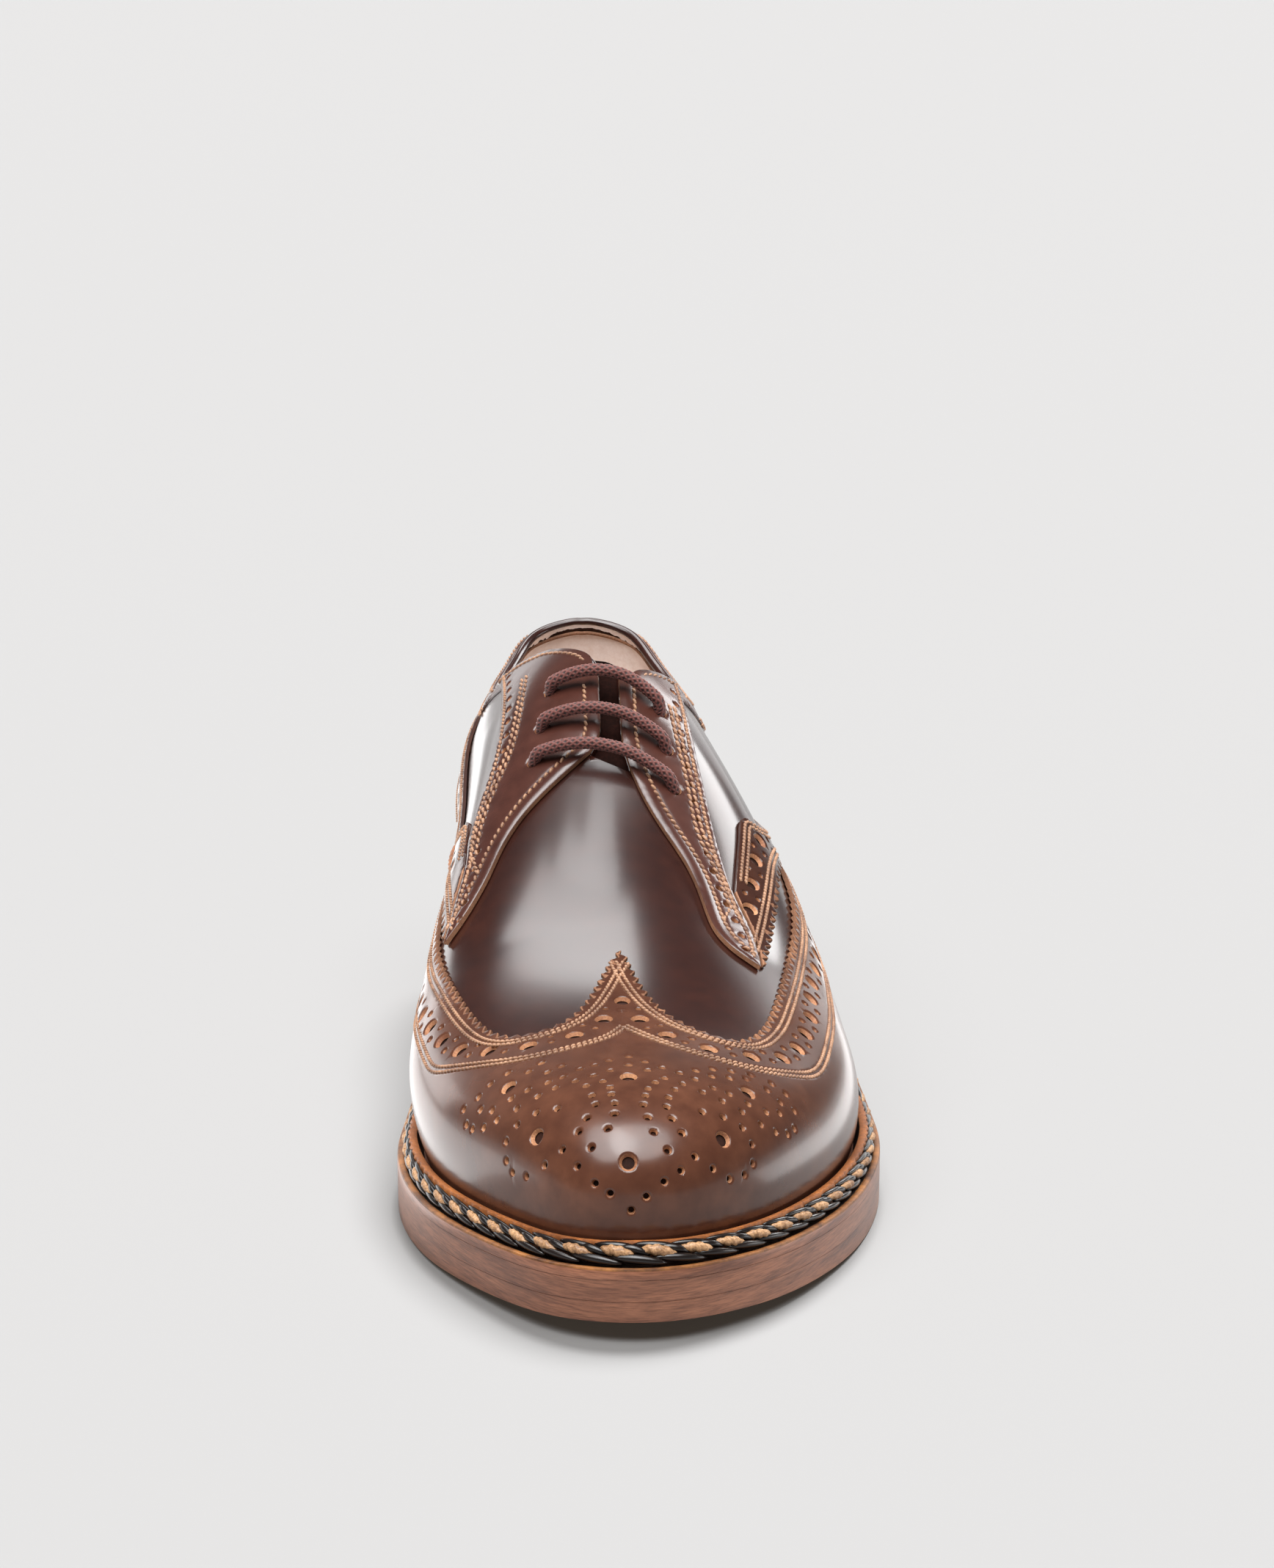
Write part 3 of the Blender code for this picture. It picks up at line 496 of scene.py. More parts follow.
def topline(rows, hand, clear):
    """The top edge on the unrolled last, from the facing to the back seam."""
    rows = np.array(rows)
    phi = np.linspace(0.0, np.pi / 2.0, 241)
    out = []
    for u in np.linspace(0.5, 1.0, 501):
        p = last_point(np.full(241, u), phi, np.full(241, hand))
        over = p[:, 2] - np.interp(p[:, 1], rows[:, 0], rows[:, 1])
        over[p[:, 1] < rows[0, 0]] = -1.0
        if over.max() > 0.0:
            k = int(np.argmax(over > 0.0))
            t = over[k - 1] / (over[k - 1] - over[k]) if k and over[k - 1] > -0.9 else 1.0
            at = phi[k - 1] + t * (phi[k] - phi[k - 1])
            i = int(round(u * (N_U - 1)))
            share = np.interp(-at, -PHI_AT[hand][i], np.linspace(0.0, 1.0, N_G))
            out.append((hand * share * GIRTH[hand][i], np.interp(u, U_TAB, B_TAB)))
    out = np.array(out)
    return out[(np.abs(out[:, 0]) > clear) | (out[:, 1] > 300.0)]


def settle(line, rounds):
    """Soft average of a line's points, ends held."""
    for _ in range(rounds):
        line = np.concatenate([line[:1], (line[:-2] + 2.0 * line[1:-1] + line[2:]) / 4.0, line[-1:]])
    return line


top_in = topline(TOPLINE_IN, -1, 3.8)
top_out = topline(TOPLINE_OUT, 1, 2.4)
b_back = max(top_in[:, 1].max(), top_out[:, 1].max())
collar_in = settle(even(np.concatenate([top_in, [(0.0, b_back)]]), 1.5), 6)
collar_out = settle(even(np.concatenate([top_out, [(0.0, b_back)]]), 1.5), 6)
gap_in = smooth(FACING_IN[3::-1], 1.5)
gap_out = smooth(FACING_OUT[3::-1], 1.5)
THROAT = join(gap_in, collar_in, collar_out[::-1], gap_out[::-1])


def welt_line(u0, u1, hand, n):
    """Part of the edge where the upper meets the welt."""
    u = np.linspace(u0, u1, n)
    return np.stack([hand * np.interp(u, U_TAB, GIRTH[hand]), np.interp(u, U_TAB, B_TAB)], -1)


RIM = join(welt_line(0.0, 1.0, 1, 240), welt_line(1.0, 0.0, -1, 240))
verts, faces, kind, shade, upper_ab = cut_panel(RIM, -WALL, 0.0, UPPER_STEP, openings=[THROAT])
upper = add_piece("upper_calf", verts, faces,
                  [CALF_VAMP, LINING, CALF_VAMP, CALF_VAMP, ROUGHED_SHADED_CALF], kind, shade, stands_for=["upper"])
upper_kind, upper_faces = kind, faces % len(upper_ab)


def scuff_and_shade(loop):
    """Roughs the upper for paste where a panel will lie on it, and gives it the dark painted shade seen down
    the holes.
    """
    upper_kind[(upper_kind == 0) & inside(upper_ab, loop)[upper_faces].all(axis=1)] = 4
    upper.data.polygons.foreach_set("material_index", upper_kind.astype(np.int32))


# The collar: the top edge of the quarters is skived, turned over and sewn
# down, so it ends in a soft dark roll, with a tan bead of lining just inside.
BEAD_R = 0.55


def swept(centre, across, up, profile):
    """A tube: a closed profile of (across, up) pairs carried along a path."""
    profile = np.broadcast_to(profile, (len(centre), *np.shape(profile)[-2:]))
    verts = centre[:, None] + across[:, None] * profile[..., :1] + up[:, None] * profile[..., 1:]
    n, k = verts.shape[:2]
    i, q = np.meshgrid(np.arange(n - 1), np.arange(k), indexing="ij")
    r = (q + 1) % k
    quads = np.stack([i * k + q, i * k + r, (i + 1) * k + r, (i + 1) * k + q], -1).reshape(-1, 4)
    return verts.reshape(-1, 3), quads.tolist() + [list(range(k)), list(range((n - 1) * k, n * k))]


collar = np.concatenate([collar_in, collar_out[::-1][1:]])
mid, out = place(collar, -WALL / 2.0)
into = np.cross(out, np.gradient(mid, axis=0))
into = np.sign(into[:, 2].mean()) * unit(into)
turn = np.linspace(-0.25 * np.pi, 1.25 * np.pi, 15)
roll = np.concatenate([np.stack([0.95 * np.sin(turn), 1.22 * np.cos(turn)], -1),
                       [(-2.6, -1.3), (-2.8, -0.9)], [(-1.5, 0.4)]])
verts, faces = swept(mid, into, out, roll)
add_piece("collar_roll", verts, faces, [CALF_VAMP])
turn = np.arange(8) * np.pi / 4.0
verts, faces = swept(mid - into * 3.0 - out * 1.25, into, out,
                     BEAD_R * np.stack([np.cos(turn), np.sin(turn)], -1))
add_piece("collar_bead", verts, faces, [EDGE_TAN])

# The wing cap: a toe piece of the same calf with a pinked edge, punched along
# it and on the toe, pasted over the vamp and held by two double rows of thread.

# The toe is antiqued by hand: a warmer, lighter brown with a softer shine.
CALF_WING = polished_calf("polished_calf_toe", "#46271b", "#623c2b", 0.25)
SKIN_GAP = 0.3
CAP_TOP = 1.5
PANEL_STEP = 1.9
WING_SEAM = 3.3
WING_IN = [(0.0, 124.0), (-3.6, 115.0), (-8.0, 100.0), (-15.5, 88.0), (-26.0, 88.0),
           (-35.0, 102.0), (-41.4, 122.5), (-46.7, 143.0), (-50.8, 161.0), (-54.0, 179.0),
           (-57.5, 199.0)]
WING_OUT = [(0.0, 124.0), (2.6, 113.0), (7.3, 98.5), (15.8, 86.0), (26.3, 83.0),
            (34.5, 95.8), (39.0, 115.4), (45.5, 146.0), (51.5, 171.0), (55.3, 190.0),
            (58.0, 209.0)]
FOXING_IN_FRONT = [(-47.4, 157.5), (-49.0, 168.0), (-52.0, 182.0), (-57.5, 200.0), (-67.0, 218.0),
                   (-82.0, 236.0)]
FOXING_OUT_FRONT = [(36.2, 132.5), (41.6, 157.6), (46.2, 178.6), (50.5, 194.0), (58.0, 210.0),
                    (68.0, 224.0), (82.0, 238.0)]
PUNCH_IN = [(0.0, 98.5), (-5.0, 87.5), (-11.4, 80.0), (-20.2, 79.0), (-30.7, 84.2), (-40.1, 94.6),
            (-44.7, 104.0), (-48.7, 115.4), (-52.5, 128.2), (-56.2, 143.8), (-60.0, 162.0),
            (-63.0, 180.0), (-65.5, 198.0)]
PUNCH_OUT = [(0.0, 98.5), (4.8, 86.3), (11.8, 76.9), (22.3, 72.9), (33.3, 78.0), (40.5, 86.3),
             (44.5, 98.5), (46.6, 108.2), (48.4, 118.3), (49.3, 128.2), (51.3, 139.5),
             (54.4, 151.4), (58.8, 165.6), (61.5, 180.0), (64.0, 196.0), (66.0, 210.0)]
LOW_SEAM_IN = [(0.0, 83.0), (-5.4, 75.0), (-17.5, 71.0), (-32.0, 78.0), (-47.0, 94.6), (-50.7, 104.0),
               (-56.5, 131.0), (-60.5, 150.0), (-64.5, 170.0), (-68.0, 190.0), (-72.0, 216.0)]
LOW_SEAM_OUT = [(0.0, 83.0), (8.7, 73.0), (19.0, 67.6), (30.0, 68.7), (41.7, 78.0), (48.8, 88.6),
                (54.0, 114.0), (62.7, 162.0), (67.0, 185.0), (72.5, 224.0)]
MEDALLION_LARGE = [(-1.0, 22.4), (0.8, 50.4), (-28.0, 62.3), (-22.6, 40.3), (29.4, 55.1), (22.8, 35.4)]
MEDALLION_SMALL = [
    (-1.0, 11.8), (0.9, 62.3), (0.9, 57.1), (-5.6, 16.9), (-9.1, 20.5), (-13.0, 26.1), (-16.3, 32.0),
    (-9.0, 28.0), (-11.6, 33.4), (-4.9, 31.4), (-3.1, 35.4), (-9.3, 36.1), (-2.8, 38.9), (-7.1, 39.6),
    (-3.4, 42.4), (-7.7, 43.2), (-3.6, 45.4), (-8.9, 47.9), (-5.1, 48.7), (-11.4, 51.3), (-7.2, 52.2),
    (-3.4, 54.1), (-7.0, 58.1), (-3.7, 60.2), (-10.4, 57.1), (-14.7, 61.2), (-19.6, 66.5),
    (-14.3, 55.1), (-18.0, 60.2), (-22.7, 64.4), (-17.9, 55.1), (-16.1, 51.3), (-23.0, 56.1),
    (-20.5, 51.3), (-32.7, 68.7), (-28.0, 68.7), (-27.5, 57.1), (-36.3, 67.6), (-26.3, 52.2),
    (-21.4, 46.2), (-16.0, 43.2), (-41.4, 69.7), (-36.5, 63.3), (-33.2, 59.1), (-32.5, 55.1),
    (-27.1, 47.9), (-42.2, 65.5), (-40.8, 62.3), (-37.1, 58.1), (-31.8, 47.9), (-34.3, 45.4),
    (-34.3, 42.4), (-30.1, 37.5), (-22.6, 33.4), (4.7, 59.1), (8.6, 56.1), (12.6, 54.1), (16.5, 57.1),
    (20.5, 60.2), (25.0, 62.3), (29.9, 64.4), (35.4, 65.5), (39.5, 65.5), (42.7, 62.3), (5.2, 54.1),
    (9.1, 50.4), (13.2, 48.7), (16.2, 52.2), (20.3, 56.1), (24.6, 58.1), (28.7, 61.2), (34.3, 61.2),
    (38.3, 60.2), (38.5, 56.1), (43.9, 57.1), (6.9, 47.9), (11.2, 45.4), (5.1, 44.7), (9.6, 41.7),
    (4.3, 41.7), (8.9, 38.2), (3.6, 38.2), (4.3, 34.1), (9.8, 34.7), (5.3, 30.0), (11.9, 31.4),
    (8.2, 26.1), (15.0, 27.4), (17.3, 39.6), (22.7, 41.0), (22.6, 46.2), (17.8, 47.0), (20.5, 50.4),
    (24.5, 50.4), (29.5, 50.4), (27.8, 46.2), (34.6, 52.2), (28.1, 41.7), (33.5, 47.0), (31.7, 40.3),
    (33.4, 37.5), (31.7, 34.1), (26.8, 30.0), (20.6, 28.0), (11.3, 23.0), (7.0, 19.3), (2.6, 15.1),
    (38.4, 49.5), (42.3, 53.2)]


def waxed_thread(name, pale, dark):
    """Waxed linen thread, two-ply: a soft sheen, darker where wax and polish
    have gathered, and a twist about half a millimetre long."""
    mat, tree = start_material(name)
    at = node(tree, "TexCoord").outputs["Object"]
    ply = node(tree, "TexNoise", {"Vector": at, "Scale": 1.0 / (0.5 * MM), "Detail": 2.0})
    worn = node(tree, "TexNoise", {"Vector": at, "Scale": 1.0 / (9 * MM), "Detail": 2.0})
    dye = two_tone(tree, ply, worn, 0.13, 0.36, dark, pale)
    bump = node(tree, "Bump", {"Height": ply.outputs[0], "Strength": 0.4, "Distance": 0.1 * MM})
    skin = node(tree, "BsdfPrincipled", {"Base Color": dye, "Roughness": 0.5,
                                         "Normal": bump.outputs[0]})
    node(tree, "OutputMaterial", {"Surface": skin.outputs[0]})
    return mat


# Thread of natural linen: tan grains that stand out on the brown.
THREAD = waxed_thread("waxed_thread_tan", "#ab8061", "#684631")
# The wall of a punched hole is bare too, painted a brighter tan than the cut edge: painted light on walls
# that sit in the hole's shade.
PUNCHED_WALL_PAINTED_LIGHT = raw_leather("punched_wall_tan_painted_light", "#c08a62", "#7c4b31", 0.5)
ROW_HALF = 0.75
DOUBLE = [(-1.9, 0.0), (-1.2, -0.12), (-ROW_HALF, -0.24), (0.0, -0.06), (ROW_HALF, -0.24), (1.2, -0.12),
          (1.9, 0.0)]
SINGLE = [(-1.1, 0.0), (-0.5, -0.1), (0.0, -0.22), (0.5, -0.1), (1.1, 0.0)]
THREAD_SUNK = 0.12
STITCH = 1.45
BROGUE = {"pitch": 11.2, "big": 2.2, "small": 0.75, "spread": 1.9}
MEDALLION_R = (2.0, 0.9)


def pinked(line, pitch=3.5, depth=1.5):
    """A line cut into small teeth, its ends kept."""
    cut = spaced(line, pitch / 2.0)
    way = np.where(np.arange(len(cut)) % 2, 0.5, -0.5) * depth
    way[[0, -1]] = 0.0
    cut = shifted(cut, way)
    at = np.arange(0.0, len(cut) - 0.9, 0.25)
    return np.stack([np.interp(at, np.arange(len(cut)), cut[:, i]) for i in (0, 1)], -1)


def sewn(lines, height, pitch, radius=0.44):
    """Stitches of thread along lines: short arched grains whose ends dip in.
    pitch is one length for all the lines, or one for each."""
    grain_t = np.array((-0.5, -0.36, 0.0, 0.36, 0.5))
    thick = np.array((0.35, 0.9, 1.0, 0.9, 0.35))
    arch = np.array((-0.9, -0.1, 0.12, -0.1, -0.9))
    turn = np.arange(6) * np.pi / 3.0
    verts, faces = [], []
    for line, length in zip(lines, np.broadcast_to(pitch, len(lines))):
        holes = spaced(line, length)
        ends = place(holes, height)[0]
        at, n = place((holes[:-1] + holes[1:]) / 2.0, height)
        t = np.diff(ends, axis=0)
        size = np.linalg.norm(t, axis=1)
        t /= size[:, None]
        side = np.cross(n, t)
        t = t + 0.3 * side
        grain = (at[:, None, None] + t[:, None, None] * (0.94 * size[:, None] * grain_t)[..., None, None]
                 + n[:, None, None] * (radius * arch)[:, None, None]
                 + radius * thick[:, None, None] * (side[:, None, None] * np.cos(turn)[:, None]
                                                    + n[:, None, None] * np.sin(turn)[:, None]))
        start = sum(len(v) for v in verts)
        verts.append(grain.reshape(-1, 3))
        i = start + 30 * np.arange(len(at))[:, None, None] + 6 * np.arange(4)[:, None]
        q = np.arange(6)
        r = (q + 1) % 6
        faces += np.stack([i + q, i + r, i + 6 + r, i + 6 + q], -1).reshape(-1, 4).tolist()
        first = start + 30 * np.arange(len(at))[:, None]
        faces += (first + q[::-1]).tolist() + (first + 24 + q).tolist()
    return np.concatenate(verts), faces


def row_of_holes(centres, pitch, big, small, spread):
    """Large holes pitch apart on a line, with a pair of small ones between."""
    at = spaced(smooth(centres, 0.5), pitch)
    both = np.empty((2 * len(at) - 1, 2))
    both[::2], both[1::2] = at, (at[:-1] + at[1:]) / 2.0
    holes = [(*p, big) for p in at]
    for way in (-spread, spread):
        holes += [(*p, small) for p in shifted(both, way)[1::2]]
    return holes


def welt_foot(rows, hand, shift):
    """A panel's front edge moved by shift, its last point set down on the welt."""
    b = rows[-1][1] - shift
    foot = hand * float(np.interp(b, B_TAB, GIRTH[hand]))
    return [(p, q - shift) for p, q in rows[:-1]] + [(foot, b)]


def at_u(b):
    """The place from toe to heel of a length b along the ridge."""
    return float(np.interp(b, B_TAB, U_TAB))


rear_in = smooth(welt_foot(FOXING_IN_FRONT, -1, 1.0)[-3:], 1.5)
rear_out = smooth(welt_foot(FOXING_OUT_FRONT, 1, 1.0)[-3:], 1.5)
wing_in, wing_out = smooth(WING_IN, 0.5), smooth(WING_OUT, 0.5)
wing_loop = join(welt_line(0.0, at_u(rear_out[-1, 1]), 1, 200), rear_out[::-1], pinked(wing_out)[::-1],
                 pinked(wing_in), rear_in, welt_line(at_u(rear_in[-1, 1]), 0.0, -1, 200))


def way_in(line, loop):
    """1 where a panel lies to the right of its edge, or -1."""
    return 1.0 if inside(shifted(line, 1.5)[len(line) // 2:][:1], loop)[0] else -1.0


def inset(line, distance, loop):
    """A line moved into the panel that it borders."""
    return shifted(line, way_in(line, loop) * distance)


seam_in, seam_out = (inset(line, WING_SEAM, wing_loop)[10:] for line in (wing_in, wing_out))
low_in, low_out = smooth(LOW_SEAM_IN, 0.5), smooth(LOW_SEAM_OUT, 0.5)
wing_rows = [r[inside(r, wing_loop)] for r in (seam_in, seam_out, low_in, low_out)]
wing_holes = row_of_holes(PUNCH_IN, **BROGUE) + row_of_holes(PUNCH_OUT, **BROGUE)[1:]
for group, radius in zip((MEDALLION_LARGE, MEDALLION_SMALL), MEDALLION_R):
    wing_holes += [(a, b, radius) for a, b in group]
verts, faces, kind, shade, wing_ab = cut_panel(wing_loop, SKIN_GAP, CAP_TOP, PANEL_STEP, holes=wing_holes,
                                               reliefs=[(r, DOUBLE) for r in wing_rows])


def ink_edge(kind, faces, ab, line):
    """Dyes a panel's cut edge like its grain where it follows a line."""
    at = ab[np.asarray(faces)[:, 0] % len(ab)]
    near = np.array([np.abs(line - p).sum(axis=1).min() < 1.2 for p in at])
    kind[(kind > 1) & (kind < 4) & near] = 0


ink_edge(kind, faces, wing_ab, even(np.concatenate([rear_in, rear_out]), 1.0))
toe_piece = add_piece("wing_cap_calf", verts, faces,
                      [CALF_WING, EDGE_TAN, EDGE_TAN, EDGE_TAN, PUNCHED_WALL_PAINTED_LIGHT], kind, shade,
                      stands_for=["wing_cap"])
scuff_and_shade(wing_loop)
threads = [shifted(r, way) for r in wing_rows for way in (-ROW_HALF, ROW_HALF)]
verts, faces = sewn(threads, CAP_TOP - THREAD_SUNK, STITCH)
add_piece("wing_thread", verts, faces, [THREAD])

# The heel foxing: one piece of calf round the heel, pinked, punched and sewn
# like the wing cap, its front edge lapped against the cap and the facings.

# The heel is less antiqued than the toe, so it is between toe and vamp.
CALF_FOXING = polished_calf("polished_calf_heel", "#2f1813", "#412419", 0.25)
FOXING_IN_TOP = [(-42.4, 185.0), (-43.4, 198.0), (-45.0, 208.0), (-50.0, 213.0), (-57.0, 224.0),
                 (-60.0, 242.0), (-57.0, 266.0), (-48.3, 293.8), (-43.3, 306.3), (-40.7, 316.4),
                 (-38.2, 324.2), (-32.5, 330.1), (-23.9, 337.5), (-15.3, 344.7), (-7.4, 351.2), (0.0, 354.8)]
FOXING_OUT_TOP = [(30.9, 162.0), (32.8, 176.0), (35.3, 192.0), (37.5, 199.5), (43.0, 204.0),
                  (52.0, 217.0), (57.0, 238.0), (56.0, 266.0), (48.1, 293.8), (42.7, 306.3), (39.7, 316.4),
                  (37.6, 324.2), (32.3, 330.1), (23.8, 337.5), (15.3, 344.7), (7.4, 351.2), (0.0, 354.8)]
PUNCH_FOX_OUT = [(34.9, 158.4), (36.3, 168.4), (38.0, 177.4), (39.9, 186.6), (42.4, 196.0)]
# Rows along the top: distance from the edge, points left off each end, rounds of softening.
FOX_TOP_ROWS = ((1.9, 12, 16), (13.2, 170, 300))
FOX_FRONT_SEAM, FOX_PUNCH, FOX_STEP = 3.1, 7.6, 2.1
top_edge_in, top_edge_out = smooth(FOXING_IN_TOP, 0.5), smooth(FOXING_OUT_TOP, 0.5)
front_in = smooth(welt_foot(FOXING_IN_FRONT, -1, 0.0), 0.5)
front_out = smooth(welt_foot(FOXING_OUT_FRONT, 1, 0.0), 0.5)
side_in = smooth([(-47.4, 157.5), (-44.9, 171.0), FOXING_IN_TOP[0]], 1.5)
side_out = smooth([(36.2, 132.5), (35.1, 147.0), FOXING_OUT_TOP[0]], 1.5)
fox_loop = join(welt_line(at_u(front_out[-1, 1]), 1.0, 1, 160),
                welt_line(1.0, at_u(front_in[-1, 1]), -1, 160),
                pinked(front_in)[::-1], side_in, top_edge_in[::3], top_edge_out[::-3],
                side_out[::-1], pinked(front_out))
round_back = np.concatenate([top_edge_out, top_edge_in[::-1][1:]])
fox_rows = [inset(r, FOX_FRONT_SEAM, fox_loop)[12:-12] for r in (front_in, front_out)]
fox_rows += [settle(inset(round_back, d, fox_loop)[n:-n], soft)
             for d, n, soft in FOX_TOP_ROWS]
punch_back = settle(inset(round_back, FOX_PUNCH, fox_loop)[95:-20], 300)[::12]
fox_holes = row_of_holes(np.concatenate([PUNCH_FOX_OUT, punch_back]), **BROGUE)
verts, faces, kind, shade, fox_ab = cut_panel(fox_loop, SKIN_GAP, CAP_TOP, FOX_STEP, holes=fox_holes,
                                              reliefs=[(r, DOUBLE) for r in fox_rows])
ink_edge(kind, faces, fox_ab, round_back[::2])
heel_piece = add_piece("heel_foxing_calf", verts, faces,
                       [CALF_FOXING, EDGE_TAN, EDGE_TAN, EDGE_TAN, PUNCHED_WALL_PAINTED_LIGHT], kind, shade,
                       stands_for=["heel_foxing"])
scuff_and_shade(fox_loop)
threads = [shifted(r, way) for r in fox_rows for way in (-ROW_HALF, ROW_HALF)]
verts, faces = sewn(threads, CAP_TOP - THREAD_SUNK, STITCH)
add_piece("foxing_thread", verts, faces, [THREAD])

# The facings: the two lacing panels laid over the vamp, each with a rolled
# bead and one row of thread at its front edge and a double row at its back.

# The facings have the same polish over a redder dye.
CALF_FACING = polished_calf("polished_calf_facing", "#391e18", "#4d2c24", 0.25)
FACING_TOP = 1.8
FACING_IN_BACK = [(-46.5, 156.0), (-44.0, 170.0), (-41.5, 184.0), (-42.0, 194.0), (-40.0, 205.0),
                  (-36.5, 216.0), (-34.0, 230.0), (-31.5, 243.0)]
FACING_OUT_BACK = [(35.3, 130.5), (34.2, 146.0), (30.0, 161.0), (27.6, 173.0), (25.6, 186.0),
                   (24.2, 198.0), (22.6, 211.0), (21.4, 223.0)]
BACK_SEAM_IN = [(-23.5, 248.0), (-26.7, 227.5), (-29.6, 215.0), (-34.4, 205.0), (-37.7, 194.5),
                (-38.5, 183.5)]
BACK_SEAM_OUT = [(16.2, 225.0), (17.9, 209.0), (19.9, 196.0), (22.1, 178.6), (25.6, 169.0),
                 (29.2, 154.5)]
EYELETS = [(-21.3, 205.0, 15.7, 191.5), (-19.2, 216.5, 14.0, 205.0), (-16.3, 229.5, 12.7, 219.0)]
EYELET_R, EYELET_DIP = 1.75, (2.6, 0.22)
FRONT_SEAM, CHAIN_SEAM, TOP_SEAM = 3.5, 1.7, 2.2
STAMP_R, STAMP_IN, STAMP_PITCH = 0.95, 3.6, 6.0
TIE_BACK = 10
BEAD = [(0.95, 0.07), (1.6, 0.12), (2.3, 0.06), (2.9, -0.05), (3.5, -0.2), (4.1, -0.08), (4.8, 0.0)]
threads, facings, ends = [], [], []
for name, fronts, rears, gap, top, seam, col in (
        ("facing_inner", FACING_IN, FACING_IN_BACK, gap_in, collar_in, BACK_SEAM_IN, 0),
        ("facing_outer", FACING_OUT, FACING_OUT_BACK, gap_out, collar_out, BACK_SEAM_OUT, 2)):
    at = int(np.argmin(np.abs(np.abs(top[:48, 0]) - abs(rears[-1][0]))))
    lead = np.concatenate([smooth(fronts[3:], 0.8)[::-1], even(gap, 0.8)[1:]])
    back = smooth(rears[:-1] + [tuple(top[at])], 0.8)
    loop = join(lead, top[:at + 1], back[::-1])
    way = way_in(lead, loop)
    double = smooth(seam, 0.5)
    double = double[inside(double, loop)]
    chain, front_row = inset(back, CHAIN_SEAM, loop)[4:-6], inset(lead, FRONT_SEAM, loop)[4:-6]
    close = [int(np.argmin(np.linalg.norm(row - double[-1], axis=1))) for row in (chain, front_row)]
    feet = [row[max(k - TIE_BACK, 0)] for row, k in zip((chain, front_row), close)]
    stamps = [(*p, STAMP_R) for p in spaced(inset(back, STAMP_IN, loop), STAMP_PITCH)[1:-1]]
    eyes = [(*e[col:col + 2], EYELET_R) for e in EYELETS]
    verts, faces, kind, shade, ab = cut_panel(
        loop, SKIN_GAP, FACING_TOP, PANEL_STEP, holes=stamps + eyes,
        reliefs=[(lead, [(way * o, h) for o, h in BEAD]), (double, DOUBLE), (chain, SINGLE)],
        dips=[(*e[:2], *EYELET_DIP) for e in eyes])
    rolled = ab[np.asarray(faces)[:, 0] % len(ab)]
    near = np.min(np.linalg.norm(rolled[:, None] - top[None, :at + 1:4], axis=2), axis=1) < 3.2
    kind[(kind > 1) & (kind < 4) & near] = 0
    facings.append(add_piece(name + "_calf", verts, faces,
                             [CALF_FACING, EDGE_TAN, EDGE_TAN, CALF_FACING, PUNCHED_WALL_PAINTED_LIGHT], kind, shade,
                             stands_for=[name]))
    ends.append((top[at + 1:], back))
    threads += [(front_row, 2.0), (chain, 1.7), (inset(top[:at + 1], TOP_SEAM, loop)[3:-2], 2.0)]
    threads += [(even(np.stack([double[-1], foot]), 0.5), 2.0) for foot in feet]
    threads += [(shifted(double, way), 2.3) for way in (-ROW_HALF, ROW_HALF)]
lines, pitches = zip(*threads)
verts, faces = sewn(lines, FACING_TOP - THREAD_SUNK, pitches)
add_piece("facing_thread", verts, faces, [THREAD])

# The collar band: a strip of calf along the top of the quarters, punched and
# sewn, that runs from one facing round the heel to the other.
BAND_LOW, BAND_TOP = 0.1, 0.8
BAND_EDGE, BAND_WIDE = 0.9, 10.5
BAND_ROWS, BAND_PUNCH = ((8.8, 6), (2.3, 3)), 5.3
BAND_HOLES = {"pitch": 10.6, "big": 1.9, "small": 0.7, "spread": 1.8}
(top_i, back_i), (top_o, back_o) = ends
upper_line = even(np.concatenate([top_i, top_o[::-1][1:]]), 1.0)
way = -1.0 if inside(shifted(upper_line, 3.0)[60:61], THROAT)[0] else 1.0
low_line = np.concatenate([back_i[-12:-11], shifted(upper_line, way * BAND_WIDE)[8:-8], back_o[-12:-11]])
band_loop = join(shifted(upper_line, way * BAND_EDGE), settle(low_line, 80)[::-1])
band_holes = row_of_holes(settle(shifted(upper_line, way * BAND_PUNCH)[6:-6], 80)[::10], **BAND_HOLES)
low_row, top_row = (settle(shifted(upper_line, way * d)[n:-n], 80) for d, n in BAND_ROWS)
verts, faces, kind, shade, _ = cut_panel(band_loop, BAND_LOW, BAND_TOP, PANEL_STEP, holes=band_holes,
                                         reliefs=[(low_row, DOUBLE), (top_row, SINGLE)])
add_piece("collar_band_calf", verts, faces,
          [CALF_FACING, EDGE_TAN, CALF_FACING, CALF_FACING, PUNCHED_WALL_PAINTED_LIGHT], kind, shade)
scuff_and_shade(band_loop)
threads = [shifted(low_row, way)[7:-7] for way in (-ROW_HALF, ROW_HALF)] + [top_row[4:-4]]
verts, faces = sewn(threads, BAND_TOP - 0.1, 1.7)
add_piece("collar_thread", verts, faces, [THREAD])

# The tongue: a leaf of thin dark calf under the facings, sewn to the vamp at
# the throat and only just seen in the narrow gap between them.

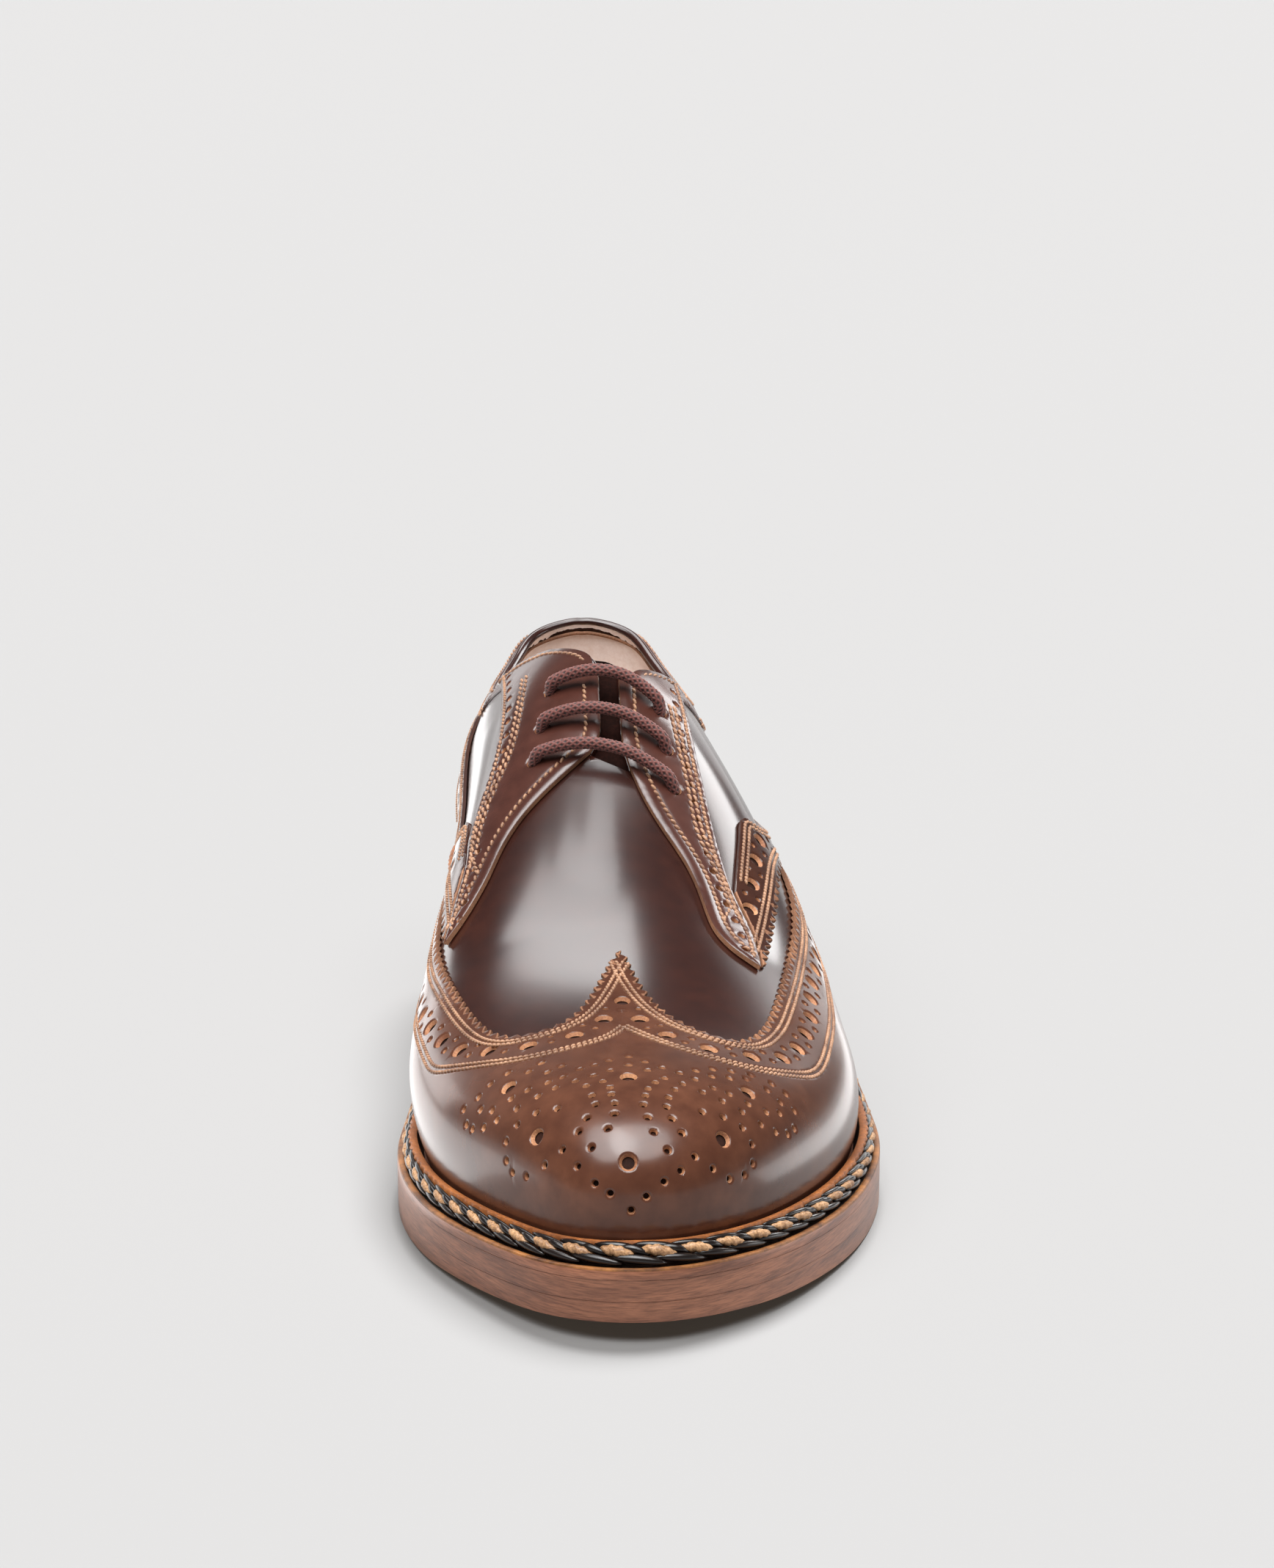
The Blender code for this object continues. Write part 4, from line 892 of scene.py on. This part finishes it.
# The tongue shows its flesh side, waxed flat: a dull, very dark brown.
CALF_TONGUE = raw_leather("waxed_flesh_tongue", "#24110d", "#120806", 1.0, 0.8, 0.03)
TONGUE = [(-12.0, 188.0), (-17.0, 205.0), (-20.0, 222.0), (-19.0, 240.0), (-8.0, 244.0), (0.0, 240.0),
          (9.0, 236.0), (15.0, 226.0), (16.5, 210.0), (14.0, 196.0), (9.0, 185.0), (-1.0, 184.0)]
TONGUE_LOW, TONGUE_TOP, TONGUE_STEP = -4.4, -2.6, 2.4
leaf = smooth(TONGUE + TONGUE[:1], 2.0)[:-1]
verts, faces, kind, shade, _ = cut_panel(leaf, TONGUE_LOW, TONGUE_TOP, TONGUE_STEP)
leaf_piece = add_piece("tongue_calf", verts, faces,
                       [CALF_TONGUE, LINING, CALF_TONGUE, CALF_TONGUE], kind, shade, stands_for=["tongue"])

# The insole: a flat footbed covered by a tan sock of lining leather. The
# solid's own shape is right, so it only gets its finish.

# The sock is undyed lining leather, rubbed smooth: matt tan, a little blotched.
SOCK = raw_leather("sock_leather", "#c9a688", "#a98567", 1.6)
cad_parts["insole"].material_slots[0].material = SOCK

# The welt: a strip of leather sewn round the upper, its lip turned up against
# the upper and its rim rubbed to bare orange leather by the edge iron.
WELT_SIDE, WELT_FRONT, WELT_HEEL = 8.8, 12.3, 5.0
LIP_IN, LIP_T, LIP_H = 2.2, 2.2, 4.9
SCALLOP, SCALLOP_PITCH = 0.22, 3.7
WELT_LOW, WELT_INNER = 10.2, -8.0


def burnished_edge(name, pale, dark, rough):
    """Sole leather edge, trimmed, inked, waxed and ironed: a satin face with
    fine level streaks a third of a millimetre high and several long."""
    mat, tree = start_material(name)
    at = node(tree, "TexCoord").outputs["Object"]
    flat = node(tree, "Mapping", {"Vector": at, "Scale": (1 / (5 * MM), 1 / (5 * MM), 1 / (0.35 * MM))})
    streak = node(tree, "TexNoise", {"Vector": flat.outputs[0], "Scale": 1.0, "Detail": 4.0,
                                     "Roughness": 0.65})
    long = node(tree, "Mapping", {"Vector": at, "Scale": (1 / (45 * MM), 1 / (45 * MM), 1 / (4 * MM))})
    patch = node(tree, "TexNoise", {"Vector": long.outputs[0], "Scale": 1.0, "Detail": 3.0})
    dye = two_tone(tree, streak, patch, 0.14, 0.38, dark, pale)
    bump = node(tree, "Bump", {"Height": streak.outputs[0], "Strength": 0.25, "Distance": 0.12 * MM})
    skin = node(tree, "BsdfPrincipled", {"Base Color": dye, "Roughness": rough, "Coat Weight": 0.25,
                                         "Coat Roughness": 0.3, "Normal": bump.outputs[0]})
    node(tree, "OutputMaterial", {"Surface": skin.outputs[0]})
    return mat


# An inked and ironed edge: satin red-brown with level streaks.
SOLE_EDGE = burnished_edge("burnished_sole_edge", "#9c664b", "#5c3626", 0.40)
# The rim, where the iron rubs the ink away: a worn orange-brown line.
RIM_WORN = raw_leather("rubbed_welt_rim", "#96602f", "#452612", 3.0, 0.5)
# The shelf under the braid keeps its ink: dark, so the braid stands out.
SHELF_DARK = raw_leather("inked_welt_shelf", "#1c0f0b", "#0e0705", 1.5, 0.5)
# The lip is bare welt leather: a ragged orange line along the upper.
LIP_ORANGE = raw_leather("welt_lip_leather", "#a5622d", "#693918", 1.2, 0.55)
edge_o = last_point(U_TAB, np.zeros(N_U), np.ones(N_U))[:, :2]
edge_i = last_point(U_TAB, np.zeros(N_U), -np.ones(N_U))[:, :2]
EDGE = np.concatenate([edge_o, edge_i[-2:0:-1]])
N_EDGE = len(EDGE)
along = np.roll(EDGE, -6, axis=0) - np.roll(EDGE, 6, axis=0)
OUTWARD = unit(np.stack([along[:, 1], -along[:, 0]], -1))
t_heel = np.clip((EDGE[:, 1] + 20.0) / 110.0, 0.0, 1.0)
t_heel = t_heel * t_heel * (3.0 - 2.0 * t_heel)
reach = WELT_SIDE + (WELT_FRONT - WELT_SIDE) * np.clip(-OUTWARD[:, 1], 0.0, None) ** 2
REACH = reach + (WELT_HEEL - reach) * t_heel
arch = np.linspace(0.0, 0.5, 30)[None, :]
low = np.concatenate([last_point(U_TAB[::2, None], arch, np.full((len(U_TAB[::2]), 30), hand)).reshape(-1, 3)
                      for hand in (-1, 1)])
low = low[low[:, 2] - bottom_z(low[:, 1]) - SOLE_T < LIP_H + 0.6]
lean = np.zeros(N_EDGE)
for i in range(N_EDGE):
    rel = low[:, :2] - EDGE[i]
    beside = np.abs(rel[:, 0] * OUTWARD[i, 1] - rel[:, 1] * OUTWARD[i, 0]) < 3.0
    lean[i] = max(0.0, (rel[beside] @ OUTWARD[i]).max())
for _ in range(12):
    lean = (np.roll(lean, 1) + 2.0 * lean + np.roll(lean, -1)) / 4.0


def ring(offset, height):
    """Places round the sole at an offset from the upper's edge."""
    xy = EDGE + OUTWARD * np.broadcast_to(offset, N_EDGE).reshape(-1, 1)
    return np.column_stack([xy, bottom_z(xy[:, 1]) + height])


def drawn_out(bm, rings, slots):
    """Extrudes an edge loop through rings of places; slots are the finishes."""
    n = len(rings[0])
    verts = [bm.verts.new(p) for p in rings[0]]
    edges = [bm.edges.new((verts[i - 1], verts[i])) for i in range(n)]
    first = verts
    for places, slot in zip(rings[1:], slots):
        made = bmesh.ops.extrude_edge_only(bm, edges=edges)["geom"]
        new = {v for v in made if isinstance(v, bmesh.types.BMVert)}
        came = {e.other_vert(v): v for v in new for e in v.link_edges if e.other_vert(v) not in new}
        verts = [came[v] for v in verts]
        for v, p in zip(verts, places):
            v.co = p
        for f in made:
            if isinstance(f, bmesh.types.BMFace):
                f.material_index = slot
        edges = [bm.edges.get((verts[i - 1], verts[i])) for i in range(n)]
    return first, verts


def add_turned(name, bm, materials, stands_for, sharp=40.0):
    """Finishes a bmesh drawn in millimetres as a piece of the shoe."""
    bmesh.ops.remove_doubles(bm, verts=bm.verts, dist=1e-4)
    bmesh.ops.recalc_face_normals(bm, faces=bm.faces)
    bmesh.ops.translate(bm, verts=bm.verts, vec=-CENTRE)
    bmesh.ops.scale(bm, verts=bm.verts, vec=(MM, MM, MM))
    mesh = bpy.data.meshes.new(name)
    bm.to_mesh(mesh)
    bm.free()
    for m in materials:
        mesh.materials.append(m)
    mesh.shade_smooth()
    mesh.set_sharp_from_angle(angle=math.radians(sharp))
    return fasten(name, mesh, stands_for)


foot = np.minimum(LIP_IN + LIP_T + 0.7, REACH - 0.6)
lip = np.maximum(LIP_IN + LIP_T + lean, 0.0)
steps = np.linalg.norm(np.roll(EDGE, -1, axis=0) - EDGE, axis=1)
way_round = np.cumsum(steps)
turns = round(way_round[-1] / SCALLOP_PITCH)
scallop = SCALLOP * np.cos(way_round * 2.0 * np.pi * turns / way_round[-1])
rings = [ring(WELT_INNER, WELT_LOW), ring(REACH - 0.06, WELT_LOW), ring(REACH, WELT_LOW + 0.06),
         ring(REACH, SOLE_T - 0.55), ring(np.maximum(REACH - 0.2, foot), SOLE_T - 0.15),
         ring(np.maximum(REACH - 0.65, foot), SOLE_T), ring(np.maximum(REACH - 1.6, foot), SOLE_T - 0.05),
         ring(np.maximum(REACH - 2.2, foot), SOLE_T - 0.3), ring(foot, SOLE_T - 0.3),
         ring(foot - 0.1, SOLE_T + 0.5), ring(lip + scallop, SOLE_T + LIP_H - 0.8),
         ring(lip - 0.35 + scallop, SOLE_T + LIP_H - 0.1), ring(lip - 1.1, SOLE_T + LIP_H),
         ring(LIP_IN + lean + 0.1, SOLE_T + LIP_H - 0.4), ring(LIP_IN, SOLE_T),
         ring(WELT_INNER, SOLE_T)]
bm = bmesh.new()
drawn_out(bm, rings + rings[:1], (0, 0, 0, 1, 1, 1, 2, 2, 3, 3, 3, 3, 3, 2, 0, 0))
add_turned("welt_strip", bm, [SOLE_EDGE, RIM_WORN, SHELF_DARK, LIP_ORANGE], ["welt"])

# The braid: a flat plait of twisted tan rope and black waxed strands, laid on
# the shelf of the welt; each strand comes up at the lip and goes down at the rim.

# Rope of natural linen: tan and matt, its plies plain to see.
ROPE = waxed_thread("twisted_rope_tan", "#b98f66", "#6b482d")
# Waxed black strands: small, sharp glints between the tan.
STRAND = polished_calf("waxed_black_strand", "#0c0807", "#1a100d", 0.30)
BRAID_PERIOD = 9.6
k = int(np.argmax(edge_o[:, 1] > 46.0))
picked = np.concatenate([np.arange(N_EDGE - k, N_EDGE), np.arange(0, k + 1)])
lo_at = ring(np.minimum(4.6 + 0.85 * lean, REACH - 3.2), SOLE_T + 4.0)[picked]
hi_at = ring(REACH - 2.3, SOLE_T + 0.6)[picked]
both = even(np.column_stack([lo_at, hi_at]), 0.35)
lo_at, hi_at = both[:, :3], both[:, 3:]
run = run_along((lo_at + hi_at) / 2.0)
ahead = unit(np.gradient((lo_at + hi_at) / 2.0, axis=0))
slope = hi_at - lo_at
width = np.linalg.norm(slope, axis=1)
over = np.cross(ahead, slope)
over = np.sign(over[:, 2].mean()) * unit(over)


def on_braid(s, q, lift):
    """A place on the shelf: s along it, q from the lip to the rim."""
    i = np.clip(s / run[-1], 0.0, 1.0) * (len(run) - 1)
    j = np.minimum(i.astype(int), len(run) - 2)
    f = (i - j)[:, None]
    mix = [a[j] * (1.0 - f) + a[j + 1] * f for a in (lo_at, slope, over, width[:, None])]
    return mix[0] + mix[1] * q[:, None] + mix[2] * np.asarray(lift).reshape(-1, 1), mix[2], mix[3][:, 0]


def cord_frame(path, up):
    """The sideways and upward directions along a path."""
    t = np.gradient(path, axis=0)
    side = unit(np.cross(t, up))
    return side, unit(np.cross(side, t))


# Each lay: where it starts and how far it runs, in periods, from lip share to rim
# share, its radius, how high it lies and how much it arches.
for name, mat, sides, rungs, laid in (
        ("welt_rope", ROPE, 14, 21, ((0.0, 0.9, 0.3, 0.66, 1.4, 0.3, 1.0),)),
        ("welt_strands", STRAND, 8, 11, ((-0.15, 1.25, 0.0, 0.26, 1.0, 0.1, 0.6),
                                         (0.45, 0.8, 0.14, 0.56, 1.1, 0.1, 0.9),
                                         (0.3, 1.3, 0.68, 1.0, 1.15, 0.1, 0.6)))):
    verts, faces = [], []
    t = np.linspace(0.0, 1.0, rungs)
    turn = np.arange(sides) * 2.0 * np.pi / sides
    for start, reach_s, q0, q1, thick, sunk, arch_h in laid:
        for j in range(int(run[-1] / BRAID_PERIOD) - 1):
            s = (j + 0.2 + start + reach_s * t) * BRAID_PERIOD
            size = float(np.clip(np.interp(s[rungs // 2], run, width) / 5.6, 0.35, 1.0))
            path, up, _ = on_braid(s, q0 + (q1 - q0) * t, size * (sunk + arch_h * np.sin(np.pi * t)))
            side, rise = cord_frame(path, up)
            lay = size * thick * np.clip(np.sin(np.pi * t), 0.05, None)[:, None] ** 0.45
            if mat is ROPE:
                lay = lay * (0.7 + 0.38 * np.abs(np.cos(turn[None, :] + 1.5 * s[:, None])))
            v, f = swept(path, side, rise, np.stack([lay * np.cos(turn), lay * np.sin(turn)], -1))
            base = sides * rungs * len(verts)
            faces += [[i + base for i in q] for q in f]
            verts.append(v)
    add_piece(name, np.concatenate(verts), faces, [mat])

# The midsole and outsole: two layers of oak-bark sole leather, sewn to the
# welt and trimmed flush, their edges inked and ironed as one.
EDGE_EASE, EDGE_BULGE = 0.06, 0.03
# The flesh of bark-tanned leather: flat tan, unfinished, slightly blotched.
SOLE_GROUND = raw_leather("sole_leather_face", "#9a7048", "#6d4a2e", 2.0, 0.6)


def slab(offset, low_z, high_z):
    """One layer of the sole: a rounded edge drawn up, then closed by strips across."""
    bm = bmesh.new()
    rings = [ring(offset - EDGE_EASE, low_z), ring(offset, low_z + EDGE_EASE),
             ring(offset + EDGE_BULGE, (low_z + high_z) / 2.0),
             ring(offset, high_z - EDGE_EASE), ring(offset - EDGE_EASE, high_z)]
    for loop in drawn_out(bm, rings, (0, 0, 0, 0)):
        for i in range(N_U - 1):
            quad = dict.fromkeys((loop[i], loop[i + 1], loop[-i - 1], loop[-i]))
            bm.faces.new(quad).material_index = 1
    return bm


for name, slot, offset, low_z, high_z, solid in (
        ("midsole_layer", "midsole_leather", REACH - 0.05, 4.96, 10.16, "midsole"),
        ("outsole_layer", "sole_leather", REACH - 0.12, 0.0, 4.93, "outsole")):
    add_turned(name, slab(offset, low_z, high_z), [SOLE_EDGE, SOLE_GROUND], [solid])

# The heel: four lifts of sole leather and a top piece, pegged and pasted
# under the seat, then trimmed as one block with a flat breast.
BREAST_Y = 74.0
LIFT_Z = (0.0, 5.6, 10.2, 14.8, 19.4, 23.85)
LIFT_EASE = 0.22
plan_all = EDGE + OUTWARD * (REACH - 0.6)[:, None]
corners = []
for p in (plan_all[:N_U], plan_all[N_U - 1:]):
    p = p[np.argsort(p[:, 1])]
    corners.append((np.interp(BREAST_Y, p[:, 1], p[:, 0]), BREAST_Y))
plan = np.concatenate([corners[:1], plan_all[plan_all[:, 1] > BREAST_Y + 0.8], corners[1:],
                       np.linspace(corners[1], corners[0], 16)[1:-1]])
middle = plan.mean(axis=0)
rings = []
for low_z, high_z in zip(LIFT_Z, LIFT_Z[1:]):
    for z, drawn in ((low_z, LIFT_EASE), (low_z + LIFT_EASE, 0.0),
                     (high_z - LIFT_EASE, 0.0), (high_z, LIFT_EASE)):
        share = z / LIFT_Z[-1]
        grow = np.array((0.965 + 0.035 * share, 0.985 + 0.015 * share))
        flat = middle + (plan - middle) * grow * (1.0 - drawn / 36.0)
        flat[:, 1] = np.maximum(flat[:, 1], BREAST_Y + 1.0 - share + drawn)
        rings.append(np.column_stack([flat, np.full(len(flat), z)]))
bm = bmesh.new()
for loop in drawn_out(bm, rings, [0] * (len(rings) - 1)):
    bm.faces.new(loop).material_index = 1
add_turned("heel_lifts", bm, [SOLE_EDGE, SOLE_GROUND], ["heel"], 30.0)

# The lace: one round cotton braid, run straight across in three bars that go
# down through the eyelets, so no end is free and it needs no length of its own.
LACE_R = 1.65
LACE_STEP = 0.2
LACE_SUNK, LACE_BOW = 0.4, 2.2
PLAIT_YARNS, PLAIT_PITCH = 6.0, 2.0


def braided_cotton(name, pale, dark):
    """Waxed braided cotton: matt, with a fuzz of fibre finer than the plait, and painted shade where each
    yarn dives under the next.
    """
    mat, tree = start_material(name)
    at = node(tree, "TexCoord").outputs["Object"]
    fuzz = node(tree, "TexNoise", {"Vector": at, "Scale": 1.0 / (0.4 * MM), "Detail": 4.0})
    # The plait attribute is painted shade: low where a yarn dives under the next.
    plait = node(tree, "Attribute", attribute_name="plait")
    tint = node(tree, "MapRange", {0: plait.outputs["Fac"], 1: -0.3, 2: 0.5})
    dye = node(tree, "Mix", {0: tint.outputs[0], 6: srgb(dark), 7: srgb(pale)}, data_type="RGBA")
    bump = node(tree, "Bump", {"Height": fuzz.outputs[0], "Strength": 0.4, "Distance": 0.08 * MM})
    skin = node(tree, "BsdfPrincipled", {"Base Color": dye.outputs[2], "Roughness": 0.7,
                                         "Sheen Weight": 0.25, "Sheen Roughness": 0.4,
                                         "Normal": bump.outputs[0]})
    node(tree, "OutputMaterial", {"Surface": skin.outputs[0]})
    return mat


# Red-brown cotton: matt, its own red-brown on each yarn's crown, darkened by painted shade where it dives.
LACE = braided_cotton("braided_cotton_lace", "#693932", "#1f0c0a")
turn = np.arange(56) * 2.0 * np.pi / 56.0
for name, (a0, b0, a1, b1) in zip(("lace_bottom", "lace_middle", "lace_top"), EYELETS):
    t = np.linspace(0.0, 1.0, 150)
    line = np.stack([a0 + (a1 - a0) * t, b0 + (b1 - b0) * t], -1)
    dive = np.clip(np.minimum(t, 1.0 - t) / 0.09, 0.0, 1.0)
    lift = LACE_SUNK + (FACING_TOP + LACE_R) * np.sin(0.5 * np.pi * dive) ** 0.8
    lift += LACE_BOW * np.sin(np.pi * t) ** 1.2
    path, up = place(line, lift)
    for _ in range(8):
        path[1:-1] = (path[:-2] + 2.0 * path[1:-1] + path[2:]) / 4.0
    run_l = run_along(path)
    at = np.arange(0.0, run_l[-1], LACE_STEP)
    path = np.stack([np.interp(at, run_l, path[:, i]) for i in range(3)], -1)
    side, rise = cord_frame(path, np.tile((0.0, -0.3, 1.0), (len(path), 1)))
    left, right = (np.cos(PLAIT_YARNS * turn[None, :] + way * 2.0 * np.pi * at[:, None] / PLAIT_PITCH)
                   for way in (1.0, -1.0))
    weave_and_shade = np.maximum(left, right) * 0.5 + 0.5 * np.maximum(left * -right, 0.0)
    lay = LACE_R * (0.89 + 0.14 * weave_and_shade)
    verts, faces = swept(path, side, rise, np.stack([lay * np.cos(turn), lay * np.sin(turn)], -1))
    braid = add_piece(name + "_braid", verts, faces, [LACE], stands_for=[name])
    # The weave, stored for the lace's colour as painted shade in the gaps between yarns.
    plait = braid.data.attributes.new("plait", "FLOAT", "POINT")
    plait.data.foreach_set("value", weave_and_shade.ravel().astype(np.float32))

# The studio: a plain pale floor with a wash of its own, a wide white scrim
# overhead, softboxes and panels behind, glows from the table, flags that keep
# a lamp off some pieces, and the camera where it stood.
FLOOR_HALF = 8.0
AIR_LIGHT = 0.12
# Painted board: matt, hardly a reflection, with a faint warm glow of its own: painted light that lifts and
# warms its shadows.
mat, tree = start_material("matt_white_floor")
glow = node(tree, "BsdfPrincipled", {"Base Color": (0.12, 0.12, 0.12, 1.0), "Roughness": 0.9,
                                     "Specular IOR Level": 0.1, "Emission Color": (1.0, 0.82, 0.66, 1.0),
                                     "Emission Strength": 0.035})
node(tree, "OutputMaterial", {"Surface": glow.outputs[0]})
mesh = bpy.data.meshes.new("studio_floor")
bm = bmesh.new()
bmesh.ops.create_grid(bm, x_segments=1, y_segments=1, size=FLOOR_HALF)
bm.to_mesh(mesh)
bm.free()
mesh.materials.append(mat)
floor = bpy.data.objects.new("studio_floor", mesh)
bpy.context.scene.collection.objects.link(floor)
flags = {}
for name, kept_off in (("off_floor", (floor,)), ("off_facings", (floor, *facings)),
                       ("off_toe_and_facings", (floor, toe_piece, leaf_piece, *facings)),
                       ("off_toe_and_heel", (floor, toe_piece, heel_piece))):
    flags[name] = bpy.data.collections.new(name)
    for thing in kept_off:
        flags[name].objects.link(thing)
    for held in flags[name].collection_objects:
        held.light_linking.link_state = "EXCLUDE"
flags["floor_only"] = bpy.data.collections.new("floor_only")
flags["floor_only"].objects.link(floor)
ON_VAMP = (-0.02, -0.06, 0.075)
for name, stand, aim, size, power, flag in (
        ("softbox_near", (-0.045, 0.285, 1.192), ON_VAMP, (0.20, 0.158), 0.8, "off_toe_and_facings"),
        ("softbox_mid", (-0.11, 0.419, 1.110), ON_VAMP, (0.36, 0.158), 1.5, "off_toe_and_facings"),
        ("softbox_far", (-0.139, 0.672, 0.954), ON_VAMP, (0.57, 0.437), 5.2, "off_toe_and_facings"),
        ("panel_right", (0.59, 0.62, 0.54), (0.035, -0.005, 0.085), (0.34, 0.34), 3.3, "off_toe_and_heel"),
        ("panel_left", (-0.6, 0.74, 0.14), (-0.04, -0.1, 0.05), (0.36, 0.26), 0.75, "off_floor"),
        ("panel_side", (0.85, -0.05, 0.16), (0.05, -0.1, 0.02), (0.5, 0.3), 1.7, "off_toe_and_heel"),
        ("table_glow_right", (0.19, 0.12, 0.004), (0.19, 0.12, 1.0), (0.17, 0.44), 0.52, "off_facings"),
        ("table_glow_left", (-0.17, 0.27, 0.004), (-0.17, 0.27, 1.0), (0.20, 0.70), 0.85, "off_facings"),
        ("backdrop", (0.0, 2.7, 0.46), (0.0, 0.0, 0.2), (3.4, 0.9), 13.0, "off_floor")):
    lamp = bpy.data.lights.new(name, "AREA")
    lamp.shape = "RECTANGLE"
    lamp.size, lamp.size_y = size
    lamp.energy = power
    held = bpy.data.objects.new(name, lamp)
    held.location = stand
    held.visible_camera = False
    held.rotation_euler = (Vector(aim) - Vector(stand)).to_track_quat("-Z", "Y").to_euler()
    held.light_linking.receiver_collection = flags[flag]
    bpy.context.scene.collection.objects.link(held)
for name, power, wide, way, flag in (("scrim_left", 3.4, 48.0, (0.35, 0.26, -1.0), None),
                                     ("scrim_right", 3.4, 48.0, (-0.11, 0.26, -1.0), None),
                                     ("floor_wash", 14.0, 27.0, (-0.17, -0.5, -1.0), "floor_only")):
    lamp = bpy.data.lights.new(name, "SUN")
    lamp.energy = power
    lamp.angle = math.radians(wide)
    held = bpy.data.objects.new(name, lamp)
    held.rotation_euler = Vector(way).to_track_quat("-Z", "Y").to_euler()
    if flag:
        held.light_linking.receiver_collection = flags[flag]
    bpy.context.scene.collection.objects.link(held)
world = bpy.data.worlds.new("studio_air")
world.use_nodes = True
world.node_tree.nodes["Background"].inputs[0].default_value = (1.0, 1.0, 1.0, 1.0)
world.node_tree.nodes["Background"].inputs[1].default_value = AIR_LIGHT
bpy.context.scene.world = world
AZ, EL = math.radians(-2.7), math.radians(16.98)
FAR, AIM = 1443.84, np.array((0.0, 0.0, 45.0))
PICTURE_PX, AXIS_PX, FOCAL_PX = (1736.0, 2137.0), (828.0, 1305.7), 7762.47
back = np.array((math.sin(AZ) * math.cos(EL), -math.cos(AZ) * math.cos(EL), math.sin(EL)))
right = np.array((math.cos(AZ), math.sin(AZ), 0.0))
above = np.cross(back, right)
off_axis = right * (PICTURE_PX[0] / 2.0 - AXIS_PX[0]) + above * (AXIS_PX[1] - PICTURE_PX[1] / 2.0)
look = off_axis / FOCAL_PX - back
lens = bpy.data.cameras.new("studio_camera")
lens.sensor_fit = "VERTICAL"
lens.sensor_height = 36.0
lens.lens = FOCAL_PX * lens.sensor_height / PICTURE_PX[1]
lens.clip_end = 50.0
eye = bpy.data.objects.new("studio_camera", lens)
eye.location = (AIM + FAR * back - CENTRE) * MM
eye.rotation_euler = Vector(look).to_track_quat("-Z", "Y").to_euler()
bpy.context.scene.collection.objects.link(eye)
bpy.context.scene.camera = eye
bpy.context.scene.view_settings.view_transform = "Standard"
